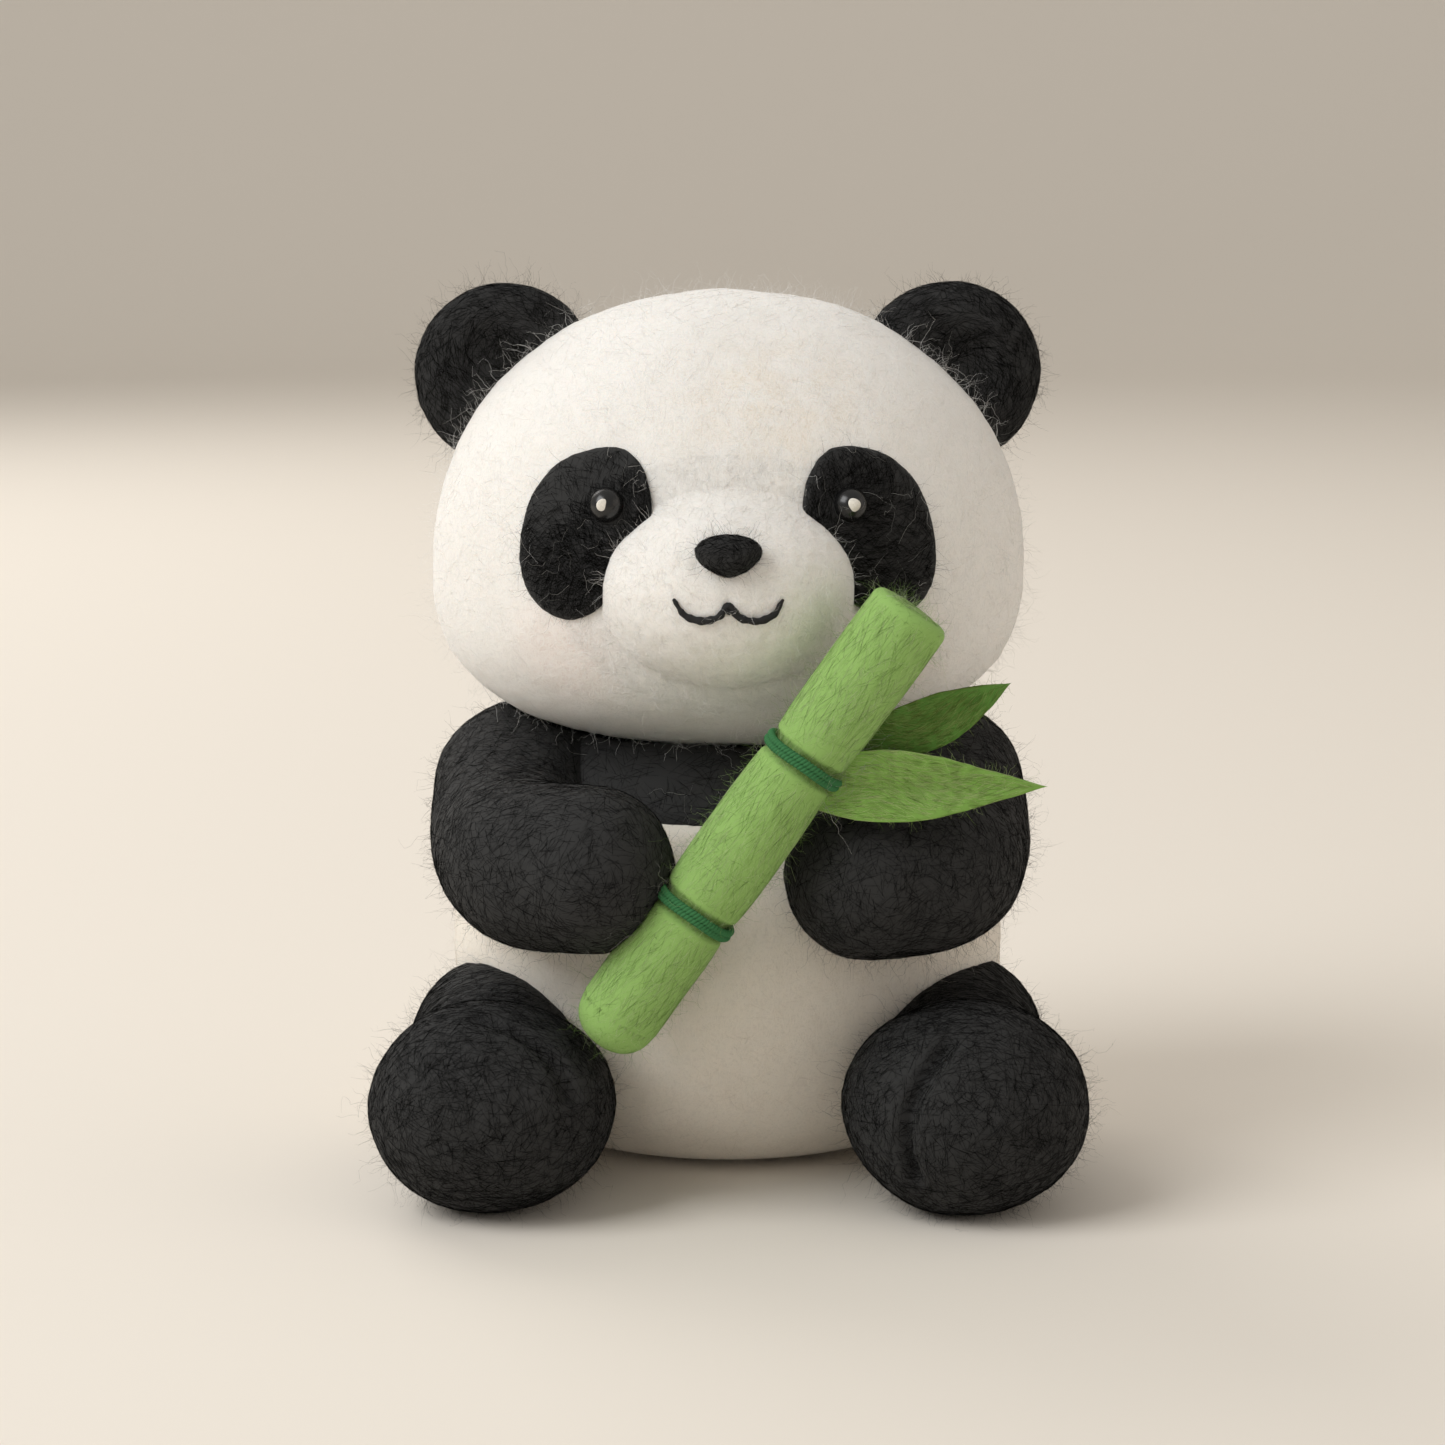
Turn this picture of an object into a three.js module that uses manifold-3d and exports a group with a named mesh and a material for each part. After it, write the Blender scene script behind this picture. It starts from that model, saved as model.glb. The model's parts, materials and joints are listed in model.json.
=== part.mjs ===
// Needle-felted panda, sitting and hugging a felt bamboo stalk.
// Millimetres, +Z up, face towards -Y. The origin is the middle of the flat base.

import * as THREE from "three";
import { mergeVertices } from "three/addons/utils/BufferGeometryUtils.js";
import Module from "manifold-3d";

const wasm = await Module();
wasm.setup();

// Driving dimensions. GAP parts pieces that touch, PLAY parts pieces that move.
const GAP = 0.3;
const PLAY = 0.45;
const HOLLOW_PLAY = 1.2;

// A body form is round in plan. Its outline is one power curve above its widest
// level and another below it, and its depth is a fixed share of its width.
const HEAD = {
  width: 37.5, depth: 31, middle: -2,
  low: 52, wide: 75, high: 109.2,
  powLow: 2.7, powHigh: 2.1,
};
const TORSO = {
  width: 35.8, depth: 30.4, middle: 0,
  low: -4.5, wide: 25.2, high: 60.2,
  powLow: 2.3, powHigh: 2,
};
const TORSO_TOP = 51.4;
const YOKE_EDGE = 43.7;
const YOKE_THICK = 2.4;
const COAT_THICK = 5;
const CORE = { centre: [0, 3, 24], radii: [13, 14, 20] };

const STEM = { radius: 6, low: 38, high: 64 };

const MUZZLE = { centre: [0, -27, 74.9], radii: [16, 14.5, 12.3] };
const NOSE = { centre: [0, -41.1, 79.9], radii: [4.2, 2.4, 2.9] };
const MOUTH = { halfWidth: 6.3, level: 74.5, sag: 2.4, peak: 73.9, thick: 0.95, lift: 0.85 };
const PATCH = { x: 17.1, z: 81.2, long: 11.1, short: 7.5, lean: 26, thick: 1 };
const EYE = { x: 14.4, z: 84.6, radius: 2.9, sink: 0.9 };
const GLINT = { radius: 1.15, drop: 0.2, side: 0.4 };
const EAR = { x: 28.1, y: 1.5, z: 98.2, radius: 11.8, half: 4.6, dishRadius: 15, dishDepth: 1.9, fold: 14 };

const ARM = { radii: [10.4, 10.6, 10.4, 9.8], swing: 32 };
const ARM_LEFT = [[-25.2, -5, 44.1], [-26.5, -18, 41.4], [-23.8, -30.2, 41.2], [-17, -37.4, 41.4]];
const ARM_RIGHT = [[25.2, -5, 44.1], [26.7, -18, 40.8], [24, -28.5, 40.2], [16.8, -32.6, 40]];
const HIP = [28.6, -11, 14.6];
const FOOT = { centre: [28.6, -35.5, 12.5], radii: [15.1, 14.3, 13] };
const THIGH_RADIUS = 11.3;
const LEG_SPLAY = 24;
const TAIL = { centre: [0, 29.5, 10.5], radii: [6.2, 5.6, 5.6] };

const STALK_LOW = new THREE.Vector3(-15.6, -40.2, 21.3);
const STALK_HIGH = new THREE.Vector3(21.7, -41.2, 73.9);
const STALK = { radius: 5.2, bore: 3.4, floor: 5, capRadius: 4.3, capThick: 1.3, capProud: 0.5 };
const GROOVE = { depth: 0.8, flat: 1.1, reach: 2.2 };
const RING_AT = [0.312, 0.655];
const RING = { inner: 4.7, outer: 5.5, wide: 1.6 };
const LEAF = { thick: 1.7, stub: 1.6, bulge: 0.4 };
const LEAF_UPPER = { base: [14.9, -38.2, 57.2], tip: [33.2, -38.2, 64.4], above: 1.9, below: 3.1 };
const LEAF_LOWER = { base: [11.2, -40.4, 52.9], tip: [37.6, -40.4, 52.4], above: 3.5, below: 3.2 };

const SIDES = { left: -1, right: 1 };
const WOOL = {
  white: { color: 0xeeebe4, roughness: 0.95 },
  core: { color: 0xdcd6c8, roughness: 0.95 },
  black: { color: 0x242326, roughness: 0.92 },
  blackCore: { color: 0x111113, roughness: 0.55 },
  cream: { color: 0xe6e2d6, roughness: 0.6 },
  green: { color: 0x8fb560, roughness: 0.95 },
  leaf: { color: 0x7aa548, roughness: 0.95 },
  darkLeaf: { color: 0x54802f, roughness: 0.95 },
  yarn: { color: 0x2f6f3d, roughness: 0.85 },
};

const panda = new THREE.Group();

// Boolean helpers

/** Merges shared corners, drops collapsed faces and points the faces outwards. */
function closedMesh(geometry) {
  const bare = geometry.clone();
  bare.deleteAttribute("normal");
  bare.deleteAttribute("uv");
  const merged = mergeVertices(bare, 1e-3);
  const at = merged.attributes.position;
  const faces = [];
  let volume = 0;
  const [a, b, c] = [new THREE.Vector3(), new THREE.Vector3(), new THREE.Vector3()];
  for (let i = 0; i < merged.index.count; i += 3) {
    const face = [0, 1, 2].map((k) => merged.index.getX(i + k));
    if (new Set(face).size < 3) continue;
    faces.push(face);
    a.fromBufferAttribute(at, face[0]);
    b.fromBufferAttribute(at, face[1]);
    c.fromBufferAttribute(at, face[2]);
    volume += a.dot(b.cross(c));
  }
  const order = volume < 0 ? (face) => [face[0], face[2], face[1]] : (face) => face;
  return { positions: at.array, indices: faces.flatMap(order) };
}

function solid(geometry) {
  const { positions, indices } = closedMesh(geometry);
  const vertProperties = new Float32Array(positions);
  const triVerts = new Uint32Array(indices);
  return new wasm.Manifold(new wasm.Mesh({ numProp: 3, vertProperties, triVerts }));
}

function shapeOf(body) {
  const mesh = body.getMesh();
  const geometry = new THREE.BufferGeometry();
  geometry.setAttribute("position", new THREE.BufferAttribute(new Float32Array(mesh.vertProperties), 3));
  geometry.setIndex([...mesh.triVerts]);
  return geometry;
}

/** The space a geometry takes as it turns about an upright or slanted axis, in equal steps. */
function swept(geometry, pivot, axis, degrees, steps) {
  let space = solid(geometry);
  for (let i = 1; i <= steps; i++) {
    space = space.add(solid(turned(geometry, pivot, axis, (degrees * i) / steps)));
  }
  return space;
}

function turned(geometry, pivot, axis, degrees) {
  const [x, y, z] = pivot;
  const copy = geometry.clone();
  copy.translate(-x, -y, -z);
  const spin = new THREE.Matrix4().makeRotationAxis(axis, THREE.MathUtils.degToRad(degrees));
  copy.applyMatrix4(spin);
  return copy.translate(x, y, z);
}

function block(low, high) {
  const size = high.map((value, i) => value - low[i]);
  const box = new THREE.BoxGeometry(...size);
  box.translate(...low.map((value, i) => value + size[i] / 2));
  return solid(box);
}

function above(level) {
  return block([-100, -100, level], [100, 100, 300]);
}

function below(level) {
  return block([-100, -100, -100], [100, 100, level]);
}

function add(name, geometry, finish, group = panda) {
  const mesh = new THREE.Mesh(geometry, new THREE.MeshStandardMaterial({ metalness: 0, ...finish }));
  mesh.name = name;
  group.add(mesh);
}

// Forms

/** Half-width of a body form at a level, from 0 at its lowest and highest points. */
function halfWidth(form, grow, z) {
  const upper = z > form.wide;
  const reach = upper ? form.high - form.wide + grow : form.wide - form.low + grow;
  const share = Math.min(1, Math.abs(z - form.wide) / reach);
  const power = upper ? form.powHigh : form.powLow;
  return (form.width + grow) * (1 - share ** power) ** (1 / power);
}

function bodyForm(form, grow, rings, sides) {
  const points = [];
  for (let i = 0; i <= rings; i++) {
    const t = Math.cos((Math.PI * i) / rings);
    const reach = t < 0 ? form.wide - form.low : form.high - form.wide;
    const z = form.wide + t * (reach + grow);
    const end = i === 0 || i === rings;
    points.push(new THREE.Vector2(end ? 0 : halfWidth(form, grow, z), z));
  }
  const shape = new THREE.LatheGeometry(points, sides);
  shape.rotateX(Math.PI / 2);
  shape.scale(1, (form.depth + grow) / (form.width + grow), 1);
  return shape.translate(0, form.middle, 0);
}

/** Y of a body form's front surface at a place on its face. */
function faceY(form, x, z) {
  const half = halfWidth(form, 0, z);
  return form.middle - (form.depth / form.width) * Math.sqrt(half * half - x * x);
}

function ball({ centre, radii }, grow, sides) {
  const shape = new THREE.SphereGeometry(1, sides, Math.round(sides * 0.6));
  shape.rotateX(Math.PI / 2);
  shape.scale(...radii.map((radius) => radius + grow));
  return shape.translate(...centre);
}

/** Fat tube with round ends along a smooth line through the given points. */
function limb(points, radii, grow, sides, rings) {
  const line = new THREE.CatmullRomCurve3(points.map((point) => new THREE.Vector3(...point)));
  const stations = [];
  const capRings = 3;
  const endCap = (t, way) => (i) => {
    const angle = (Math.PI / 2) * (i / capRings);
    const radius = radii[t ? radii.length - 1 : 0] + grow;
    const centre = line.getPoint(t).addScaledVector(line.getTangent(t), way * radius * Math.cos(angle));
    return { centre, radius: radius * Math.sin(angle), tangent: line.getTangent(t) };
  };
  for (let i = 0; i < capRings; i++) stations.push(endCap(0, -1)(i));
  for (let i = 0; i <= rings; i++) {
    const t = i / rings;
    const place = t * (radii.length - 1);
    const from = Math.min(Math.floor(place), radii.length - 2);
    const radius = THREE.MathUtils.lerp(radii[from], radii[from + 1], place - from) + grow;
    stations.push({ centre: line.getPoint(t), radius, tangent: line.getTangent(t) });
  }
  for (let i = capRings - 1; i >= 0; i--) stations.push(endCap(1, 1)(i));
  const profile = stations.map((station, i) => new THREE.Vector2(station.radius, i));
  const shape = new THREE.LatheGeometry(profile, sides);
  const at = shape.attributes.position;
  const place = new THREE.Vector3();
  const up = new THREE.Vector3(0, 0, 1);
  for (let i = 0; i < at.count; i++) {
    const { centre, tangent } = stations[i % stations.length];
    const across = new THREE.Vector3().crossVectors(tangent, up).normalize();
    const rise = new THREE.Vector3().crossVectors(across, tangent);
    place.copy(centre).addScaledVector(across, at.getX(i)).addScaledVector(rise, at.getZ(i));
    at.setXYZ(i, place.x, place.y, place.z);
  }
  return shape;
}

/** Round bar between two levels on the upright axis through the neck. */
function upright(radius, low, high, sides) {
  const bar = new THREE.CylinderGeometry(radius, radius, high - low, sides);
  bar.rotateX(Math.PI / 2);
  return bar.translate(0, HEAD.middle, (low + high) / 2);
}

// Limb forms, needed both for the limbs and for the hollows they turn in

const UP = new THREE.Vector3(0, 0, 1);
const armPoints = { left: ARM_LEFT, right: ARM_RIGHT };

function sided([x, y, z], side) {
  return [x * SIDES[side], y, z];
}

function armForm(side, grow) {
  return limb(armPoints[side], ARM.radii, grow, 16, 6);
}

function footBall(side) {
  return { centre: sided(FOOT.centre, side), radii: FOOT.radii };
}

function thighForm(side, grow) {
  const hip = sided(HIP, side);
  const ankle = footBall(side).centre;
  const knee = hip.map((value, i) => (value + ankle[i]) / 2);
  return limb([hip, knee, ankle], [THIGH_RADIUS, THIGH_RADIUS], grow, 16, 2);
}

/** The hollows in one side of the torso that the arm and the leg turn in. */
function limbSpace(side) {
  const arm = limb(armPoints[side], ARM.radii, HOLLOW_PLAY, 10, 3);
  const hip = sided(HIP, side);
  const leg = limb([hip, footBall(side).centre], [THIGH_RADIUS, THIGH_RADIUS], HOLLOW_PLAY, 10, 1);
  const armSpace = swept(arm, armPoints[side][0], UP, SIDES[side] * ARM.swing, 2);
  return armSpace.add(swept(leg, hip, UP, SIDES[side] * LEG_SPLAY, 1));
}

// Torso

function makeTorso() {
  const hollows = limbSpace("left").add(limbSpace("right"));
  const neckHole = solid(upright(STEM.radius + GAP, STEM.low - GAP, 80, 16));
  const outer = solid(bodyForm(TORSO, 0, 12, 30)).subtract(below(0));
  const inner = solid(bodyForm(TORSO, -YOKE_THICK - GAP, 12, 30)).subtract(below(1));

  const lower = outer.subtract(above(YOKE_EDGE - GAP));
  const neck = inner.subtract(above(TORSO_TOP - YOKE_THICK - GAP));
  const coreHole = solid(ball(CORE, GAP, 14));
  const coat = lower.add(neck).subtract(hollows).subtract(coreHole).subtract(neckHole);
  add("belly_coat", shapeOf(coat), WOOL.white);
  add("torso_core", shapeOf(solid(ball(CORE, 0, 14)).subtract(neckHole)), WOOL.core);

  const cut = solid(bodyForm(TORSO, -YOKE_THICK, 12, 30)).subtract(above(TORSO_TOP - YOKE_THICK));
  const yoke = outer.subtract(below(YOKE_EDGE)).subtract(above(TORSO_TOP)).subtract(cut);
  add("shoulder_yoke", shapeOf(yoke.subtract(hollows).subtract(neckHole)), WOOL.black);

  add("neck_stem", shapeOf(solid(upright(STEM.radius, STEM.low, STEM.high, 16))), WOOL.core);
  const tail = solid(ball(TAIL, 0, 14)).subtract(solid(bodyForm(TORSO, GAP, 12, 30)));
  add("tail", shapeOf(tail), WOOL.white);
}

// Head

function makeHead() {
  const stemHole = solid(upright(STEM.radius + PLAY, 40, STEM.high + PLAY, 20));
  const hollow = solid(bodyForm(HEAD, -COAT_THICK, 9, 20));
  const coat = solid(bodyForm(HEAD, 0, 16, 36)).subtract(hollow).subtract(stemHole);
  add("head_coat", shapeOf(coat), WOOL.white);
  const core = solid(bodyForm(HEAD, -COAT_THICK - GAP, 9, 20)).subtract(stemHole);
  add("head_core", shapeOf(core), WOOL.core);
}

function makeMuzzle() {
  const skin = solid(bodyForm(HEAD, GAP, 16, 36));
  add("muzzle", shapeOf(solid(ball(MUZZLE, 0, 24)).subtract(skin)), WOOL.white);
  const nose = solid(ball(NOSE, 0, 18)).subtract(solid(ball(MUZZLE, GAP, 24)));
  add("nose", shapeOf(nose), WOOL.black);
}

/** Y of the muzzle's front surface. */
function muzzleY(x, z) {
  const { centre, radii } = MUZZLE;
  const reach = ((x - centre[0]) / radii[0]) ** 2 + ((z - centre[2]) / radii[2]) ** 2;
  return centre[1] - radii[1] * Math.sqrt(1 - reach);
}

function makeMouth() {
  const { halfWidth: half, level, sag, peak, thick, lift } = MOUTH;
  const places = [[-half, level], [-half * 0.8, level - sag * 0.75], [-half * 0.5, level - sag]];
  places.push([-half * 0.2, level - sag * 0.8], [0, peak]);
  const mirrored = places.slice(0, -1).reverse().map(([x, z]) => [-x, z]);
  const line = [...places, ...mirrored].map(([x, z]) => new THREE.Vector3(x, muzzleY(x, z) - lift, z));
  const section = new THREE.Shape(new THREE.Path().absarc(0, 0, thick / 2, 0, 2 * Math.PI).getPoints(2));
  const strand = new THREE.ExtrudeGeometry(section, {
    extrudePath: new THREE.CatmullRomCurve3(line),
    steps: 20,
    curveSegments: 8,
  });
  add("mouth_strand", shapeOf(solid(strand)), WOOL.blackCore);
}

function makeEye(side) {
  const way = SIDES[side];
  const oval = new THREE.Shape();
  oval.absellipse(0, 0, PATCH.short, PATCH.long, 0, 2 * Math.PI);
  const prism = new THREE.ExtrudeGeometry(oval, { depth: 60, bevelEnabled: false, curveSegments: 16 });
  prism.rotateX(Math.PI / 2);
  prism.rotateY(THREE.MathUtils.degToRad(-way * PATCH.lean));
  prism.translate(way * PATCH.x, 0, PATCH.z);
  const patch = solid(bodyForm(HEAD, PATCH.thick + GAP, 16, 36))
    .intersect(solid(prism))
    .subtract(solid(bodyForm(HEAD, GAP, 16, 36)))
    .subtract(solid(ball(MUZZLE, GAP, 24)));
  const skinY = faceY(HEAD, EYE.x, EYE.z) - PATCH.thick - GAP;
  const bead = { centre: [way * EYE.x, skinY + EYE.sink, EYE.z], radii: Array(3).fill(EYE.radius) };
  const beadHole = solid(ball(bead, GAP, 14));
  add(`eye_patch_${side}`, shapeOf(patch.subtract(beadHole)), WOOL.black);
  const glintY = bead.centre[1] - EYE.radius;
  const dot = { centre: [way * (EYE.x + GLINT.side), glintY, EYE.z + GLINT.drop], radii: [1, 0.8, 1] };
  dot.radii = dot.radii.map((share) => share * GLINT.radius);
  const clear = solid(bodyForm(HEAD, GAP, 16, 36));
  add(`eye_bead_${side}`, shapeOf(solid(ball(bead, 0, 14)).subtract(clear)), WOOL.blackCore);
  add(`eye_glint_${side}`, shapeOf(solid(ball(dot, 0, 8)).subtract(beadHole)), WOOL.cream);
}

function makeEar(side) {
  const way = SIDES[side];
  const centre = [way * EAR.x, EAR.y, EAR.z];
  const disc = { centre, radii: [EAR.radius, EAR.half, EAR.radius] };
  const dishY = EAR.y - EAR.half - EAR.dishRadius + EAR.dishDepth;
  const dish = { centre: [way * EAR.x * 1.03, dishY, EAR.z + 1], radii: Array(3).fill(EAR.dishRadius) };
  const axis = new THREE.Vector3(-1, 0, way).normalize();
  const skull = swept(bodyForm(HEAD, PLAY, 16, 36), centre, axis, -EAR.fold, 2);
  const ear = solid(ball(disc, 0, 22)).subtract(solid(ball(dish, 0, 22))).subtract(skull);
  add(`ear_${side}`, shapeOf(ear), WOOL.black);
}

// Limbs

/** An arm, with a dent where its paw presses on the stalk. */
function makeArm(side) {
  add(`arm_${side}`, shapeOf(solid(armForm(side, 0)).subtract(stalkSpace())), WOOL.black);
}

function makeLeg(side) {
  const floor = below(0);
  const foot = solid(ball(footBall(side), 0, 18)).subtract(floor);
  add(`foot_${side}`, shapeOf(foot), WOOL.black);
  const thigh = solid(thighForm(side, 0)).subtract(solid(ball(footBall(side), GAP, 18))).subtract(floor);
  add(`thigh_${side}`, shapeOf(thigh), WOOL.black);
}

// Bamboo stalk: built upright from its lower end, then leaned into place

const stalkLength = STALK_LOW.distanceTo(STALK_HIGH);
const stalkWay = STALK_HIGH.clone().sub(STALK_LOW).normalize();
const stalk = new THREE.Group();
stalk.position.copy(STALK_LOW);
stalk.quaternion.setFromUnitVectors(new THREE.Vector3(0, 1, 0), stalkWay);
stalk.updateMatrix();
panda.add(stalk);

/** A round part of the stalk, from an outline of radius and height along the stalk. */
function turnedPart(name, points, sides, finish) {
  const shape = new THREE.LatheGeometry(points.map(([r, z]) => new THREE.Vector2(r, z)), sides);
  add(name, shapeOf(solid(shape)), finish, stalk);
}

function makeStalk() {
  const { radius, bore, floor, capRadius, capThick } = STALK;
  const rimTop = stalkLength - STALK.capProud;
  const outline = [[0, 0], [radius * 0.55, 0.35], [radius * 0.88, 1.7], [radius, 3.8]];
  for (const share of RING_AT) {
    const z = share * stalkLength;
    outline.push([radius, z - GROOVE.reach], [radius - GROOVE.depth, z - GROOVE.flat]);
    outline.push([radius - GROOVE.depth, z + GROOVE.flat], [radius, z + GROOVE.reach]);
  }
  const seat = rimTop - capThick;
  outline.push([radius, rimTop - 1.4], [radius - 0.5, rimTop - 0.3], [capRadius + GAP, rimTop]);
  outline.push([capRadius + GAP, seat], [bore, seat], [bore, floor], [0, floor]);
  turnedPart("stalk_wrap", outline, 18, WOOL.green);
  const [coreLow, coreTop] = [floor + GAP, seat - GAP];
  const core = [[0, coreLow], [bore - GAP, coreLow], [bore - GAP, coreTop], [0, coreTop]];
  turnedPart("stalk_core", core, 14, WOOL.core);
  const cap = [[0, seat + GAP], [capRadius, seat + GAP], [capRadius, stalkLength - 0.3]];
  cap.push([capRadius - 0.4, stalkLength], [0, stalkLength]);
  turnedPart("stalk_cap", cap, 22, WOOL.green);
}

function makeRing(name, share) {
  const z = share * stalkLength;
  const { inner, outer, wide } = RING;
  const [low, high] = [z - wide / 2, z + wide / 2];
  const points = [[inner, low], [outer - 0.3, low], [outer, z - 0.3], [outer, z + 0.3]];
  points.push([outer - 0.3, high], [inner, high], [inner, low]);
  turnedPart(name, points, 22, WOOL.yarn);
}

/** Bar along the stalk that keeps other pieces clear of it. */
function stalkSpace() {
  const clear = RING.outer + GAP;
  const bar = new THREE.CylinderGeometry(clear, clear, stalkLength, 22);
  bar.translate(0, stalkLength / 2, 0);
  bar.applyMatrix4(stalk.matrix);
  return solid(bar);
}

/** Pointed blade from a base to a tip, with a belly on each side, cut clear of the stalk. */
function makeLeaf(name, { base, tip, above: upper, below: lower }, finish) {
  const length = Math.hypot(tip[0] - base[0], tip[2] - base[2]);
  const outline = new THREE.Shape();
  outline.moveTo(0, -LEAF.stub);
  outline.quadraticCurveTo(length * LEAF.bulge, -lower * 2, length, 0);
  outline.quadraticCurveTo(length * LEAF.bulge, upper * 2, 0, LEAF.stub);
  outline.closePath();
  const settings = { depth: LEAF.thick, bevelEnabled: false, curveSegments: 8 };
  const blade = new THREE.ExtrudeGeometry(outline, settings);
  blade.rotateX(Math.PI / 2);
  blade.rotateY(-Math.atan2(tip[2] - base[2], tip[0] - base[0]));
  blade.translate(...base);
  add(name, shapeOf(solid(blade).subtract(stalkSpace())), finish);
}

makeTorso();
makeHead();
makeMuzzle();
makeMouth();
for (const side of Object.keys(SIDES)) {
  makeEye(side);
  makeEar(side);
  makeArm(side);
  makeLeg(side);
}
makeStalk();
makeRing("band_lower", RING_AT[0]);
makeRing("band_upper", RING_AT[1]);
makeLeaf("leaf_upper", LEAF_UPPER, WOOL.darkLeaf);
makeLeaf("leaf_lower", LEAF_LOWER, WOOL.leaf);

export default panda;
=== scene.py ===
"""Needle-felted panda with a bamboo stalk: wool skins, loose fibres, yarn, felt leaves, plain stage."""

import json
import math

import bpy
import numpy as np
from mathutils import Matrix, Vector, noise
from mathutils.bvhtree import BVHTree

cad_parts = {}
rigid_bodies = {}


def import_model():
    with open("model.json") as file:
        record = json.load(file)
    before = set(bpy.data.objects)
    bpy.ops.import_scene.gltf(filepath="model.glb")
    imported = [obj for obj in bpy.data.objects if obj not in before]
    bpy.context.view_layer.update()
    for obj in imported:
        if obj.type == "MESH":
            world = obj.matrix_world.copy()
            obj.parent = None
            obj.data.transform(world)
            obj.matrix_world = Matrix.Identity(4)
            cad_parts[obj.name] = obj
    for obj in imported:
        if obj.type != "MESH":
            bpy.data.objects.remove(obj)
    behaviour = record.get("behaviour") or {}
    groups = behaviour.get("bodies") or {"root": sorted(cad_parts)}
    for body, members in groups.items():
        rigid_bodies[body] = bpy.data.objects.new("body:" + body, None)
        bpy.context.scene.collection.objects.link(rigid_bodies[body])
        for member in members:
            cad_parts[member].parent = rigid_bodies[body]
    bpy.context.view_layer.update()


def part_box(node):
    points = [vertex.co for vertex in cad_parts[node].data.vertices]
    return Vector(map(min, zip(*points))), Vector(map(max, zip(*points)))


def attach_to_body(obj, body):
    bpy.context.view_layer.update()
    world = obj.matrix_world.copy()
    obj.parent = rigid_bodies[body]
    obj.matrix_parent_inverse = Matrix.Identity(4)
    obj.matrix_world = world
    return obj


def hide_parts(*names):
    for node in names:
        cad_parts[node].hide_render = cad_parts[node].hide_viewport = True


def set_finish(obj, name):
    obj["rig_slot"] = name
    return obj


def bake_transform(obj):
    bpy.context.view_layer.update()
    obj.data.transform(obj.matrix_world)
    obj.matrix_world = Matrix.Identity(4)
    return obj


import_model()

bl_info = {
    "name": "Felted panda",
    "version": (1, 0, 0),
    "blender": (4, 5, 0),
    "location": "3D View > Sidebar > Felted panda",
    "description": "Builds a needle-felted panda holding a bamboo stalk",
    "category": "Add Mesh",
}

MM = 0.001
SIDES = {"left": -1, "right": 1}

# How far the skin lies under the tips of its lying fibres.
PILE = 0.3 * MM


def centre_of(node):
    low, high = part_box(node)
    return np.array((low + high) / 2)


def half_of(node):
    low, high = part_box(node)
    return np.array((high - low) / 2)


# ---------------------------------------------------------------- settings


class WoolSettings(bpy.types.PropertyGroup):
    white: bpy.props.FloatVectorProperty(
        name="White wool", description="Colour of the white wool", subtype="COLOR",
        size=3, min=0, max=1, default=(0.84, 0.815, 0.775),
    )
    black: bpy.props.FloatVectorProperty(
        name="Black wool", description="Colour of the black wool", subtype="COLOR",
        size=3, min=0, max=1, default=(0.003, 0.003, 0.0028),
    )
    thickness: bpy.props.FloatProperty(
        name="Fibre radius", description="Radius of one wool fibre at its root", subtype="DISTANCE",
        unit="LENGTH", min=0.00001, default=0.023 * MM,
    )
    stray_length: bpy.props.FloatProperty(
        name="Stray fibre", description="Length of a fibre that stands off the surface", subtype="DISTANCE",
        unit="LENGTH", min=0.0005, default=2.6 * MM,
    )
    lumpiness: bpy.props.FloatProperty(
        name="Lumpiness", description="Height of the soft lumps that felting leaves", subtype="DISTANCE",
        unit="LENGTH", min=0, default=0.42 * MM,
    )


class StalkSettings(bpy.types.PropertyGroup):
    green: bpy.props.FloatVectorProperty(
        name="Stalk green", description="Colour of the stalk's wool", subtype="COLOR",
        size=3, min=0, max=1, default=(0.215, 0.345, 0.085),
    )
    leaf: bpy.props.FloatVectorProperty(
        name="Leaf green", description="Colour of the lower leaf", subtype="COLOR",
        size=3, min=0, max=1, default=(0.255, 0.375, 0.10),
    )
    dark_leaf: bpy.props.FloatVectorProperty(
        name="Dark leaf green", description="Colour of the upper leaf", subtype="COLOR",
        size=3, min=0, max=1, default=(0.12, 0.185, 0.03),
    )
    yarn: bpy.props.FloatVectorProperty(
        name="Yarn green", description="Colour of the yarn bands", subtype="COLOR",
        size=3, min=0, max=1, default=(0.018, 0.075, 0.02),
    )
    ply_radius: bpy.props.FloatProperty(
        name="Ply radius", description="Radius of one ply of the yarn", subtype="DISTANCE",
        unit="LENGTH", min=0.0001, default=0.25 * MM,
    )


class StageSettings(bpy.types.PropertyGroup):
    elevation: bpy.props.FloatProperty(
        name="Camera elevation", description="How far the camera looks down", subtype="ANGLE",
        default=math.radians(9),
    )
    distance: bpy.props.FloatProperty(
        name="Camera distance", description="From the panda's middle to the camera", subtype="DISTANCE",
        unit="LENGTH", min=0.1, default=0.48,
    )
    lens: bpy.props.FloatProperty(
        name="Lens", description="Focal length on a 36 mm wide sensor", subtype="DISTANCE_CAMERA",
        unit="CAMERA", min=10, default=93.4,
    )
    aim_height: bpy.props.FloatProperty(
        name="Aim height", description="Height that the camera looks at", subtype="DISTANCE",
        unit="LENGTH", default=53.7 * MM,
    )


# ---------------------------------------------------------------- mesh work


def mesh_object(name, points, faces):
    mesh = bpy.data.meshes.new(name)
    mesh.from_pydata([tuple(p) for p in points], [], [tuple(f) for f in faces])
    mesh.update()
    if signed_volume(mesh) < 0:
        mesh.flip_normals()
    mesh.shade_smooth()
    piece = bpy.data.objects.new(name, mesh)
    bpy.context.scene.collection.objects.link(piece)
    return piece


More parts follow.
